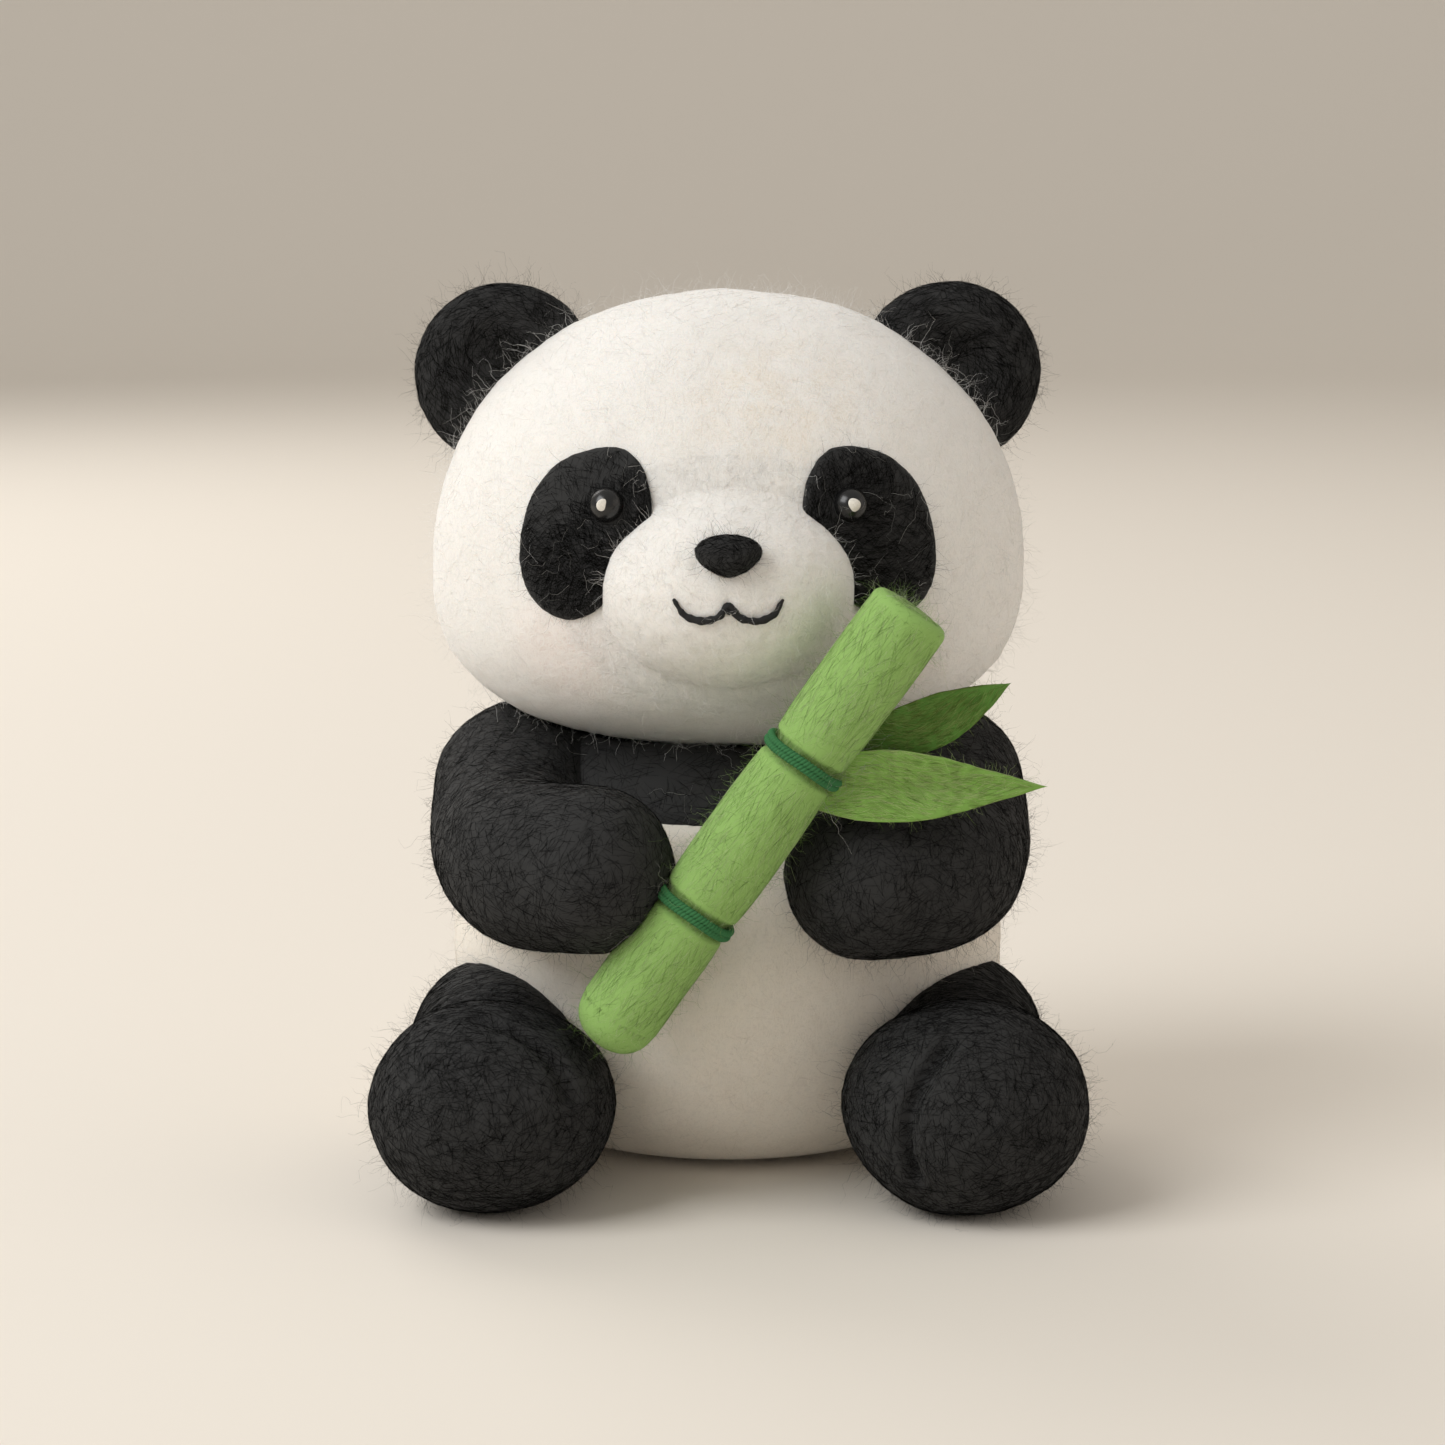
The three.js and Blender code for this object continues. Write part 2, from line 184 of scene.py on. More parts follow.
def signed_volume(mesh):
    mesh.calc_loop_triangles()
    corners = np.zeros(len(mesh.loop_triangles) * 3, np.int32)
    mesh.loop_triangles.foreach_get("vertices", corners)
    a, b, c = (places(mesh)[corners.reshape(-1, 3)[:, k]] for k in range(3))
    return float((a * np.cross(b, c)).sum()) / 6


def places(mesh):
    flat = np.zeros(len(mesh.vertices) * 3)
    mesh.vertices.foreach_get("co", flat)
    return flat.reshape(-1, 3)


def set_places(mesh, points):
    mesh.vertices.foreach_set("co", np.asarray(points, float).ravel())
    mesh.update()


def normals(mesh):
    flat = np.zeros(len(mesh.vertices) * 3)
    mesh.vertex_normals.foreach_get("vector", flat)
    return flat.reshape(-1, 3)


def ring_body(name, rings):
    """Closed skin through rings of points. The first and the last ring are single points."""
    points = [rings[0][0]]
    starts = []
    for ring in rings[1:-1]:
        starts.append(len(points))
        points.extend(ring)
    points.append(rings[-1][0])
    sides = len(rings[1])
    last = len(points) - 1
    faces = []
    for k in range(sides):
        after = (k + 1) % sides
        faces.append((0, starts[0] + after, starts[0] + k))
        for low, high in zip(starts, starts[1:]):
            faces.append((low + k, low + after, high + after, high + k))
        faces.append((last, starts[-1] + k, starts[-1] + after))
    return mesh_object(name, points, faces)


def circle(sides, turn=0.0):
    angles = np.linspace(0, 2 * math.pi, sides, endpoint=False) + turn
    return np.cos(angles), np.sin(angles)


def lathe(name, outline, sides, across, along, centre):
    """Turns an outline of (radius, height) round an axis. across gives the two cross directions."""
    cos, sin = circle(sides)
    rings = []
    for radius, height in outline:
        middle = centre + height * along
        ring = middle + radius * (cos[:, None] * across[0] + sin[:, None] * across[1])
        rings.append(ring)
    return ring_body(name, rings)


def smooth_line(points, count):
    """Catmull-Rom line through the points, as evenly spaced places."""
    points = np.asarray(points, float)
    ends = [2 * points[0] - points[1], *points, 2 * points[-1] - points[-2]]
    p = np.array(ends)
    fine = []
    for i in range(len(points) - 1):
        t = np.linspace(0, 1, 40, endpoint=False)[:, None]
        a, b, c, d = p[i], p[i + 1], p[i + 2], p[i + 3]
        part = 2 * b + (c - a) * t + (2 * a - 5 * b + 4 * c - d) * t**2 + (3 * b - a - 3 * c + d) * t**3
        fine.append(part / 2)
    fine = np.vstack([*fine, points[-1:]])
    run = np.r_[0, np.cumsum(np.linalg.norm(np.diff(fine, axis=0), axis=1))]
    at = np.linspace(0, run[-1], count)
    return np.column_stack([np.interp(at, run, fine[:, k]) for k in range(fine.shape[1])])


def tube(name, line, radii, sides, cap=8):
    """Tube with round ends along a line of places, with one radius for each place."""
    line = np.asarray(line, float)
    tangents = np.gradient(line, axis=0)
    tangents /= np.linalg.norm(tangents, axis=1)[:, None]
    up = np.array([0.0, 0.0, 1.0])
    if abs(tangents[0] @ up) > 0.9:
        up = np.array([0.0, 1.0, 0.0])
    cos, sin = circle(sides)
    rings = []

    def ring(middle, tangent, radius):
        across = np.cross(tangent, up)
        across /= np.linalg.norm(across)
        rise = np.cross(across, tangent)
        return middle + radius * (cos[:, None] * across + sin[:, None] * rise)

    for i in range(cap):
        angle = math.pi / 2 * i / cap
        middle = line[0] - tangents[0] * radii[0] * math.cos(angle)
        rings.append(ring(middle, tangents[0], radii[0] * math.sin(angle)))
    rings.extend(ring(m, t, r) for m, t, r in zip(line, tangents, radii))
    for i in reversed(range(cap)):
        angle = math.pi / 2 * i / cap
        middle = line[-1] + tangents[-1] * radii[-1] * math.cos(angle)
        rings.append(ring(middle, tangents[-1], radii[-1] * math.sin(angle)))
    return ring_body(name, rings)


def lump(points, size, seed):
    """Smooth noise at each point, from about -1 to 1, with lumps of the given size."""
    shift = Vector((seed * 7.31, seed * 3.17, seed * 5.77))
    return np.array([noise.noise(Vector(p) / size + shift) for p in points])


def felt_surface(piece, seed, lumps, keep=None, fine=1.0):
    """Gives a smooth form the soft lumps and the fine unevenness of felted wool."""
    mesh = piece.data
    points, out = places(mesh), normals(mesh)
    height = lumps * lump(points, 15 * MM, seed)
    height += 0.3 * lumps * lump(points, 5 * MM, seed + 1)
    height += 0.11 * fine * MM * lump(points, 1.3 * MM, seed + 2) - PILE
    if keep is not None:
        height *= keep(points)
    set_places(mesh, points + out * height[:, None])


# ---------------------------------------------------------------- body forms


class Form:
    """A body form: round in plan, with one power curve above its widest level and one below."""

    def __init__(self, node, wide_share, powers, low=None, high=None, node_width=None):
        lowest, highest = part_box(node)
        middle, half = centre_of(node), half_of(node)
        self.low = lowest.z if low is None else low
        self.high = highest.z if high is None else high
        self.wide = self.low + wide_share * (self.high - self.low)
        self.width, self.depth, self.middle = half[0], half[1], middle[1]
        self.power_low, self.power_high = powers

    def half_width(self, z, grow=0.0):
        z = np.asarray(z, float)
        upper = z > self.wide
        reach = np.where(upper, self.high - self.wide, self.wide - self.low) + grow
        power = np.where(upper, self.power_high, self.power_low)
        share = np.clip(np.abs(z - self.wide) / reach, 0, 1)
        return (self.width + grow) * (1 - share**power) ** (1 / power)

    def face_y(self, x, z, grow=0.0):
        half = self.half_width(z, grow)
        ratio = (self.depth + grow) / (self.width + grow)
        return self.middle - ratio * np.sqrt(np.maximum(half**2 - np.asarray(x) ** 2, 0))

    def levels(self, count, grow=0.0):
        """Levels from the lowest to the highest point, closer together near both."""
        t = -np.cos(np.linspace(0, math.pi, count))
        drop = (self.wide - self.low + grow) * t
        rise = (self.high - self.wide + grow) * t
        return self.wide + np.where(t < 0, drop, rise)

    def ring(self, z, sides, grow=0.0):
        cos, sin = circle(sides)
        half = self.half_width(z, grow)
        ratio = (self.depth + grow) / (self.width + grow)
        return np.column_stack([cos * half, self.middle + sin * half * ratio, np.full(sides, float(z))])


HEAD = Form("head_coat", 0.402, (2.7, 2.1))
TORSO = Form("belly_coat", 0.46, (2.3, 2.0), low=-4.5 * MM, high=60.2 * MM)
TORSO_TOP = 51.4 * MM
YOKE_EDGE = 43.4 * MM
YOKE_TOP = 57.5 * MM
NECK_Y = -2 * MM
HEAD_TURNS = [math.radians(a) for a in (-20, -14, -7, 0, 6)]
MUZZLE_RADII = np.array([16.0, 14.5, 12.3]) * MM


def form_body(name, form, rings, sides, floor=None, top=None):
    levels = form.levels(rings)
    skin = []
    for i, z in enumerate(levels):
        ring = form.ring(z, 1 if i in (0, rings - 1) else sides)
        if i in (0, rings - 1):
            ring = np.array([[0, form.middle, z]])
        skin.append(ring)
    piece = ring_body(name, skin)
    points = places(piece.data)
    if floor is not None:
        points[:, 2] = soft_floor(points[:, 2], floor, 1.6 * MM)
    if top is not None:
        points[:, 2] = -soft_floor(-points[:, 2], -top, 2.5 * MM)
    set_places(piece.data, points)
    return piece


def soft_floor(z, floor, blend):
    """Bends levels that would pass below a floor so that they rest on it, with a rounded edge."""
    over = (z - floor) / blend
    return floor + blend * np.where(over > 4, over, np.log1p(np.exp(np.clip(over, -30, 30))))


# ---------------------------------------------------------------- node wiring


class Wiring:
    """Short way to add nodes to a tree and to join them."""

    def __init__(self, tree):
        self.tree = tree

    def add(self, kind, inputs=None, **settings):
        node = self.tree.nodes.new(kind)
        for key, value in settings.items():
            setattr(node, key, value)
        for key, value in (inputs or {}).items():
            self.feed(socket(node.inputs, key), value)
        return node

    def feed(self, into, value):
        if isinstance(value, bpy.types.NodeSocket):
            self.tree.links.new(value, into)
        else:
            into.default_value = value

    def math(self, operation, *values, clamp=False):
        node = self.add("ShaderNodeMath", dict(enumerate(values)), operation=operation, use_clamp=clamp)
        return node.outputs[0]

    def vector(self, operation, *values):
        node = self.add("ShaderNodeVectorMath", dict(enumerate(values)), operation=operation)
        return node.outputs["Value" if operation in ("DISTANCE", "LENGTH", "DOT_PRODUCT") else "Vector"]

    def scaled(self, vector, factor):
        node = self.add("ShaderNodeVectorMath", {0: vector, "Scale": factor}, operation="SCALE")
        return node.outputs["Vector"]

    def fade(self, value, start, end, at_start, at_end, kind="SMOOTHSTEP"):
        """Value carried from one range to another, held at both ends."""
        limits = {"Value": value, "From Min": start, "From Max": end, "To Min": at_start, "To Max": at_end}
        return self.add("ShaderNodeMapRange", limits, interpolation_type=kind).outputs["Result"]


def socket(sockets, key):
    """The socket in use with this number or name. Nodes with several data types hide the others."""
    if isinstance(key, int):
        return sockets[key]
    return next(s for s in sockets if s.name == key and s.enabled)


# ---------------------------------------------------------------- materials


def felt_group():
    """Fine crossing strands and soft clouds, as masks from 0 to 1."""
    tree = bpy.data.node_groups.new("felt_strands", "ShaderNodeTree")
    face = tree.interface
    face.new_socket("Vector", in_out="INPUT", socket_type="NodeSocketVector")
    for name, value in (("Strand Size", 1.0), ("Cloud Size", 7.0)):
        face.new_socket(name, in_out="INPUT", socket_type="NodeSocketFloat").default_value = value
    for name in ("Strands", "Clouds", "Height"):
        face.new_socket(name, in_out="OUTPUT", socket_type="NodeSocketFloat")
    w = Wiring(tree)
    ins = w.add("NodeGroupInput").outputs
    strand_scale = w.math("DIVIDE", 1 / MM, ins["Strand Size"])
    cloud_scale = w.math("DIVIDE", 1 / MM, ins["Cloud Size"])

    def strands(shift, stretch):
        moved = w.vector("MULTIPLY_ADD", ins["Vector"], stretch, shift)
        texture = w.add(
            "ShaderNodeTexNoise",
            {"Vector": moved, "Scale": strand_scale, "Detail": 2.0, "Roughness": 0.55, "Distortion": 2.2},
        )
        ridge = w.math("ABSOLUTE", w.math("SUBTRACT", texture.outputs["Fac"], 0.5))
        return w.math("SUBTRACT", 1.0, w.math("MULTIPLY", ridge, 9.0), clamp=True)

    first = strands((0.013, 0.0, 0.0), (1.0, 1.0, 0.45))
    second = strands((0.0, 0.031, 0.007), (0.45, 0.6, 1.0))
    both = w.math("MAXIMUM", first, w.math("MULTIPLY", second, 0.8))
    clouds = w.add("ShaderNodeTexNoise", {"Vector": ins["Vector"], "Scale": cloud_scale, "Detail": 3.0})
    grain = w.add(
        "ShaderNodeTexNoise", {"Vector": ins["Vector"], "Scale": w.math("MULTIPLY", strand_scale, 2.5)}
    )
    height = w.math("ADD", w.math("MULTIPLY", both, 0.6), w.math("MULTIPLY", grain.outputs["Fac"], 0.4))
    outs = w.add("NodeGroupOutput").inputs
    w.feed(outs["Strands"], both)
    w.feed(outs["Clouds"], clouds.outputs["Fac"])
    w.feed(outs["Height"], height)
    return tree


def mixed(w, factor, first, second):
    node = w.add("ShaderNodeMix", data_type="RGBA", blend_type="MIX")
    for key, value in (("Factor", factor), ("A", first), ("B", second)):
        w.feed(socket(node.inputs, key), value)
    return socket(node.outputs, "Result")


def rgba(colour, factor=1.0):
    return (*[min(1.0, c * factor) for c in colour], 1.0)


def felt_material(
    name, colour, deep, bright, strand=1.0, cloud=7.0, bump=0.35, sheen=0.3, extra=None, soft=0.0, gloss=0.15
):
    """Felted wool: clouds of tone, paler strands and a fibrous bump. extra adds marks to the colour."""
    material = bpy.data.materials.new(name)
    material.use_nodes = True
    tree = material.node_tree
    w = Wiring(tree)
    shader = tree.nodes["Principled BSDF"]
    coords = w.add("ShaderNodeTexCoord").outputs["Object"]
    group = w.add("ShaderNodeGroup", node_tree=bpy.data.node_groups["felt_strands"])
    w.feed(group.inputs["Vector"], coords)
    group.inputs["Strand Size"].default_value = strand
    group.inputs["Cloud Size"].default_value = cloud
    tone = mixed(w, group.outputs["Clouds"], rgba(colour, deep), rgba(colour))
    if extra:
        tone = extra(w, coords, tone)
    tone = mixed(w, w.math("MULTIPLY", group.outputs["Strands"], 0.6), tone, rgba(colour, bright))
    w.feed(shader.inputs["Base Color"], tone)
    bumped = w.add(
        "ShaderNodeBump", {"Height": group.outputs["Height"], "Strength": bump, "Distance": 0.25 * MM}
    )
    w.feed(shader.inputs["Normal"], bumped.outputs["Normal"])
    shader.inputs["Roughness"].default_value = 0.92
    shader.inputs["Specular IOR Level"].default_value = gloss
    shader.inputs["IOR"].default_value = 1.12 if gloss < 0.02 else 1.5
    shader.inputs["Sheen Weight"].default_value = sheen
    shader.inputs["Sheen Roughness"].default_value = 0.45
    if soft:
        shader.inputs["Subsurface Weight"].default_value = soft
        shader.inputs["Subsurface Radius"].default_value = (2.2 * MM, 1.8 * MM, 1.5 * MM)
        shader.inputs["Subsurface Scale"].default_value = 1.0
    return material


def plain_fibre(name, colour, gloss):
    """One tone of loose fibre. The tones are dealt out fibre by fibre."""
    material = bpy.data.materials.new(name)
    material.use_nodes = True
    shader = material.node_tree.nodes["Principled BSDF"]
    shader.inputs["Base Color"].default_value = rgba(colour)
    shader.inputs["Roughness"].default_value = 0.55
    shader.inputs["Specular IOR Level"].default_value = gloss
    shader.inputs["IOR"].default_value = 1.12 if gloss < 0.02 else 1.5
    return material


def gloss_material(name, colour, roughness):
    material = felt_material(name, colour, 0.8, 1.4, strand=3.0, cloud=1.5, bump=0.02, sheen=0.0)
    shader = material.node_tree.nodes["Principled BSDF"]
    shader.inputs["Roughness"].default_value = roughness
    shader.inputs["Specular IOR Level"].default_value = 0.3
    return material


def cheek_marks(w, coords, tone):
    """A faint warm blush on both cheeks and a creamy cloud on the forehead."""
    for side in SIDES.values():
        z = HEAD.low + 14 * MM
        x = side * 20 * MM
        far = w.vector("DISTANCE", coords, (x, float(HEAD.face_y(x, z)), z))
        mask = w.fade(far, 2 * MM, 11 * MM, 0.3, 0.0)
        tone = mixed(w, mask, tone, (0.83, 0.60, 0.53, 1.0))
    brow = (6 * MM, HEAD.middle - HEAD.depth * 0.82, HEAD.high - 11 * MM)
    mask = w.fade(w.vector("DISTANCE", coords, brow), 2 * MM, 18 * MM, 0.75, 0.0)
    clouds = w.add("ShaderNodeTexNoise", {"Vector": coords, "Scale": 1 / (3.5 * MM), "Detail": 3.0})
    patchy = w.math("MULTIPLY", mask, w.fade(clouds.outputs[0], 0.35, 0.65, 0.1, 1.0))
    return mixed(w, patchy, tone, (0.76, 0.68, 0.57, 1.0))


def make_materials():
    wool, stalk = bpy.context.scene.panda_wool, bpy.context.scene.panda_stalk
    felt_group()
    felt_material("white_wool", wool.white, 0.93, 1.12, bump=0.3, sheen=0.25, soft=0.25)
    felt_material("face_wool", wool.white, 0.93, 1.12, bump=0.3, sheen=0.25, extra=cheek_marks, soft=0.25)
    # The belly's cream colour is partly the wool's own cream and partly painted shade: the head's shadow and
    # a warm bounce from below are painted into it.
    felt_material("cream_and_shade_wool", (0.85, 0.79, 0.70), 0.93, 1.1, bump=0.25, sheen=0.15, soft=0.25)
    felt_material("black_wool", wool.black, 0.7, 3.0, strand=0.8, bump=0.6, sheen=0.0, gloss=0.01)
    felt_material("stalk_felt", stalk.green, 0.88, 1.25, strand=0.9, bump=0.3, sheen=0.2)
    felt_material("leaf_felt", stalk.leaf, 0.85, 1.3, strand=0.7, bump=0.4, sheen=0.25)
    felt_material("dark_leaf_felt", stalk.dark_leaf, 0.85, 1.4, strand=0.7, bump=0.4, sheen=0.25)
    felt_material("green_yarn", stalk.yarn, 0.75, 1.7, strand=0.35, cloud=2.0, bump=0.5, sheen=0.2)
    felt_material("core_wool", (0.62, 0.57, 0.47), 0.85, 1.15, bump=0.4)
    felt_material("mouth_thread", (0.006, 0.006, 0.007), 0.7, 3.0, strand=0.3, cloud=1.5, bump=0.4, sheen=0.1)
    felt_material("glint_felt", (0.78, 0.74, 0.66), 0.85, 1.2, strand=0.5, cloud=1.0, bump=0.4)
    gloss_material("eye_bead", (0.0022, 0.0022, 0.0024), 0.55)
    tones = {
        "white": ((0.88, 0.865, 0.84), (0.85, 0.825, 0.785), (0.9, 0.895, 0.885)),
        # These belly tones carry the same painted shade and painted warm bounce as the belly felt, besides
        # its cream.
        "cream_and_shade": ((0.84, 0.79, 0.715), (0.78, 0.72, 0.635), (0.87, 0.835, 0.78)),
        "silver": ((0.42, 0.41, 0.39), (0.22, 0.215, 0.2), (0.6, 0.58, 0.55)),
        "black": ((0.0018, 0.0018, 0.0016), (0.0042, 0.0042, 0.004), (0.036, 0.036, 0.036)),
        "green": ((0.215, 0.34, 0.095), (0.46, 0.58, 0.29), (0.085, 0.155, 0.03)),
        "leaf": ((0.27, 0.40, 0.11), (0.50, 0.60, 0.27), (0.10, 0.175, 0.03)),
        "darkleaf": ((0.12, 0.185, 0.03), (0.30, 0.38, 0.12), (0.045, 0.085, 0.01)),
    }
    for name, colours in tones.items():
        for letter, colour in zip("abc", colours):
            plain_fibre(f"{name}_fibre_{letter}", colour, gloss=0.01 if name == "black" else 0.12)


def dress(piece, material, slot, body, *nodes, fill=1.0):
    """Gives a piece its material and its finish slot, rides it on a moving body when one is given, and hides
    the nodes that it takes the place of.
    """
    piece.data.materials.clear()
    piece.data.materials.append(bpy.data.materials[material])
    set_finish(piece, slot)
    if body:
        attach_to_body(piece, body)
    if nodes:
        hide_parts(*nodes)
    return piece


# ---------------------------------------------------------------- loose fibres


def fibre_tree():
    """Fibres scattered on a surface: each lies on it or stands off it, bends, and thins towards its tip."""
    tree = bpy.data.node_groups.new("wool_fibres", "GeometryNodeTree")
    face = tree.interface
    face.new_socket("Geometry", in_out="INPUT", socket_type="NodeSocketGeometry")
    face.new_socket("Cover", in_out="INPUT", socket_type="NodeSocketString").default_value = "cover"
    floats = (
        ("Density", 0.0), ("Length", 5 * MM), ("Radius", 0.04 * MM), ("Lowest Angle", 0.0),
        ("Highest Angle", 0.3), ("Turn", 0.0), ("Spread", 1.0), ("Flow", 1.5), ("Flow Size", 14 * MM),
        ("Hug", 1.0), ("Lift", 0.3 * MM), ("Curl", 1 * MM), ("Curl Size", 4 * MM),
    )
    for name, value in floats:
        face.new_socket(name, in_out="INPUT", socket_type="NodeSocketFloat").default_value = value
    face.new_socket("Grain", in_out="INPUT", socket_type="NodeSocketVector").default_value = (0, 1, 0)
    face.new_socket("Points", in_out="INPUT", socket_type="NodeSocketInt").default_value = 5
    face.new_socket("Seed", in_out="INPUT", socket_type="NodeSocketInt")
    for letter in "ABC":
        face.new_socket(f"Tone {letter}", in_out="INPUT", socket_type="NodeSocketMaterial")
    face.new_socket("Geometry", in_out="OUTPUT", socket_type="NodeSocketGeometry")
    w = Wiring(tree)
    ins = w.add("NodeGroupInput").outputs

    def chance(low, high, extra):
        seed = w.math("ADD", ins["Seed"], float(extra))
        node = w.add("FunctionNodeRandomValue", {"Min": low, "Max": high, "Seed": seed}, data_type="FLOAT")
        return socket(node.outputs, "Value")

    def named(name):
        return socket(
            w.add("GeometryNodeInputNamedAttribute", {"Name": name}, data_type="FLOAT").outputs, "Attribute"
        )

    skin = ins["Geometry"]
    scatter = {
        "Mesh": skin,
        "Density": w.math("MULTIPLY", ins["Density"], named(ins["Cover"])),
        "Seed": ins["Seed"],
    }
    roots = w.add("GeometryNodeDistributePointsOnFaces", scatter)
    deal = {"Geometry": roots.outputs["Points"], "Name": "tone", "Value": chance(0.0, 1.0, 11)}
    dealt = w.add("GeometryNodeStoreNamedAttribute", deal, data_type="FLOAT", domain="POINT")
    where = w.add("GeometryNodeInputPosition").outputs[0]
    currents = w.add(
        "ShaderNodeTexNoise",
        {"Vector": where, "Scale": w.math("DIVIDE", 1.0, ins["Flow Size"]), "Detail": 0.0},
    )
    flow = w.math("MULTIPLY", w.math("SUBTRACT", socket(currents.outputs, "Fac"), 0.5), ins["Flow"])
    stray = w.math("MULTIPLY", ins["Spread"], chance(-math.pi, math.pi, 23))
    heading = w.math("ADD", ins["Turn"], w.math("ADD", flow, stray))
    spin = w.add("FunctionNodeAxisAngleToRotation", {"Axis": (0, 0, 1), "Angle": heading})
    across = w.vector("CROSS_PRODUCT", roots.outputs["Normal"], ins["Grain"])
    laid_out = {"Rotation": roots.outputs["Rotation"], "Vector": across}
    combed = w.add("FunctionNodeAlignRotationToVector", laid_out, axis="X", pivot_axis="Z")
    angle = w.math("MULTIPLY", chance(ins["Lowest Angle"], ins["Highest Angle"], 31), -1.0)
    tilt = w.add("FunctionNodeAxisAngleToRotation", {"Axis": (0, 1, 0), "Angle": angle})
    turned = w.add(
        "FunctionNodeRotateRotation", {0: combed.outputs[0], 1: spin.outputs[0]}, rotation_space="LOCAL"
    )
    aimed = w.add(
        "FunctionNodeRotateRotation", {0: turned.outputs[0], 1: tilt.outputs[0]}, rotation_space="LOCAL"
    )
    straight = w.add("GeometryNodeCurvePrimitiveLine", {"Start": (0, 0, 0), "End": (1, 0, 0)})
    fibre = w.add("GeometryNodeResampleCurve", {"Curve": straight.outputs[0], "Count": ins["Points"]})
    size = w.math("MULTIPLY", ins["Length"], chance(0.45, 1.25, 41))
    spots = {
        "Points": dealt.outputs[0], "Instance": fibre.outputs[0], "Rotation": aimed.outputs[0], "Scale": size,
    }
    real = w.add(
        "GeometryNodeRealizeInstances", {"Geometry": w.add("GeometryNodeInstanceOnPoints", spots).outputs[0]}
    )

    along = w.add("GeometryNodeSplineParameter").outputs["Factor"]
    tone = named("tone")
    shift = w.scaled(w.add("ShaderNodeCombineXYZ", {0: tone, 1: tone, 2: tone}).outputs[0], 190.0)
    finer = w.scaled(where, w.math("DIVIDE", 1.0, ins["Curl Size"]))
    sway = w.add("ShaderNodeTexNoise", {"Vector": w.vector("ADD", finer, shift), "Scale": 1.0, "Detail": 1.0})
    swing = w.vector("SUBTRACT", socket(sway.outputs, "Color"), (0.5, 0.5, 0.5))
    bent = w.vector(
        "ADD", where, w.scaled(swing, w.math("MULTIPLY", w.math("MULTIPLY", ins["Curl"], along), 4.0))
    )
    near = w.add("GeometryNodeProximity", {0: skin, "Sample Position": bent}, target_element="FACES")
    level = w.add("GeometryNodeInputNormal").outputs[0]
    sample = {"Mesh": skin, "Value": level, "Sample Position": bent}
    facing = w.add("GeometryNodeSampleNearestSurface", sample, data_type="FLOAT_VECTOR")
    arch = w.math("MULTIPLY", w.math("MULTIPLY", along, w.math("SUBTRACT", 1.15, along)), 4.0)
    lift = w.math("MULTIPLY", w.math("MULTIPLY", arch, ins["Lift"]), w.math("ADD", 0.25, tone))
    laid = w.vector("ADD", socket(near.outputs, "Position"), w.scaled(socket(facing.outputs, "Value"), lift))
    hugged = w.add("ShaderNodeMix", data_type="VECTOR")
    for key, value in (("Factor", ins["Hug"]), ("A", bent), ("B", laid)):
        w.feed(socket(hugged.inputs, key), value)
    moved = {"Geometry": real.outputs[0], "Position": socket(hugged.outputs, "Result")}
    freed = w.add("GeometryNodeSetPosition", moved)
    spot = w.add("ShaderNodeSeparateXYZ", {0: w.add("GeometryNodeInputPosition").outputs[0]}).outputs
    ground = w.math("MAXIMUM", spot[2], w.math("MULTIPLY", ins["Radius"], 1.5))
    grounded = w.add("ShaderNodeCombineXYZ", {0: spot[0], 1: spot[1], 2: ground}).outputs[0]
    placed = w.add("GeometryNodeSetPosition", {"Geometry": freed.outputs[0], "Position": grounded})
    thin = w.math("MULTIPLY", ins["Radius"], w.math("SUBTRACT", 1.0, w.math("MULTIPLY", along, 0.7)))
    ring = w.add("GeometryNodeCurvePrimitiveCircle", {"Resolution": 3, "Radius": 1.0})
    drawn = {"Curve": placed.outputs[0], "Profile Curve": ring.outputs[0], "Scale": thin, "Fill Caps": True}
    result = w.add("GeometryNodeCurveToMesh", drawn).outputs[0]
    result = w.add("GeometryNodeSetMaterial", {"Geometry": result, "Material": ins["Tone A"]}).outputs[0]
    for letter, limit in (("B", 0.45), ("C", 0.84)):
        above = w.add(
            "FunctionNodeCompare", {"A": tone, "B": limit}, data_type="FLOAT", operation="GREATER_THAN"
        )
        chosen = {"Geometry": result, "Selection": above.outputs[0], "Material": ins[f"Tone {letter}"]}
        result = w.add("GeometryNodeSetMaterial", chosen).outputs[0]
    w.feed(w.add("NodeGroupOutput").inputs["Geometry"], result)
    return tree


def skin_tree(piece):
    mesh = piece.data
    return BVHTree.FromPolygons([v.co for v in mesh.vertices], [p.vertices for p in mesh.polygons])


def depth_in(tree, point):
    """How far a point is inside a closed skin. Outside it is negative."""
    found, normal, _, far = tree.find_nearest(point)
    return -far if (point - found).dot(normal) > 0 else far


def near_mask(points, piece, reach):
    other = places(piece.data)
    low, high = other.min(0) - reach, other.max(0) + reach
    return np.flatnonzero(np.all((points > low) & (points < high), axis=1))


def turned(points, angle):
    """The points turned about the upright line that the head turns on."""
    cos, sin = math.cos(angle), math.sin(angle)
    x, y = points[:, 0], points[:, 1] - NECK_Y
    return np.column_stack([cos * x - sin * y, sin * x + cos * y + NECK_Y, points[:, 2]])


def make_room(piece, others, gap, turns=(0.0,)):
    """Presses a soft skin in where it leans on other pieces, also when they turn on the neck."""
    points = places(piece.data)
    for name in others:
        other = bpy.data.objects[name]
        tree = skin_tree(other)
        for turn in turns:
            points = turned(points, -turn)
            for i in near_mask(points, other, gap):
                found, normal, _, _ = tree.find_nearest(Vector(points[i]))
                deep = gap - (Vector(points[i]) - found).dot(normal)
                if deep > 0:
                    points[i] += np.array(normal) * deep
            points = turned(points, turn)
    set_places(piece.data, points)


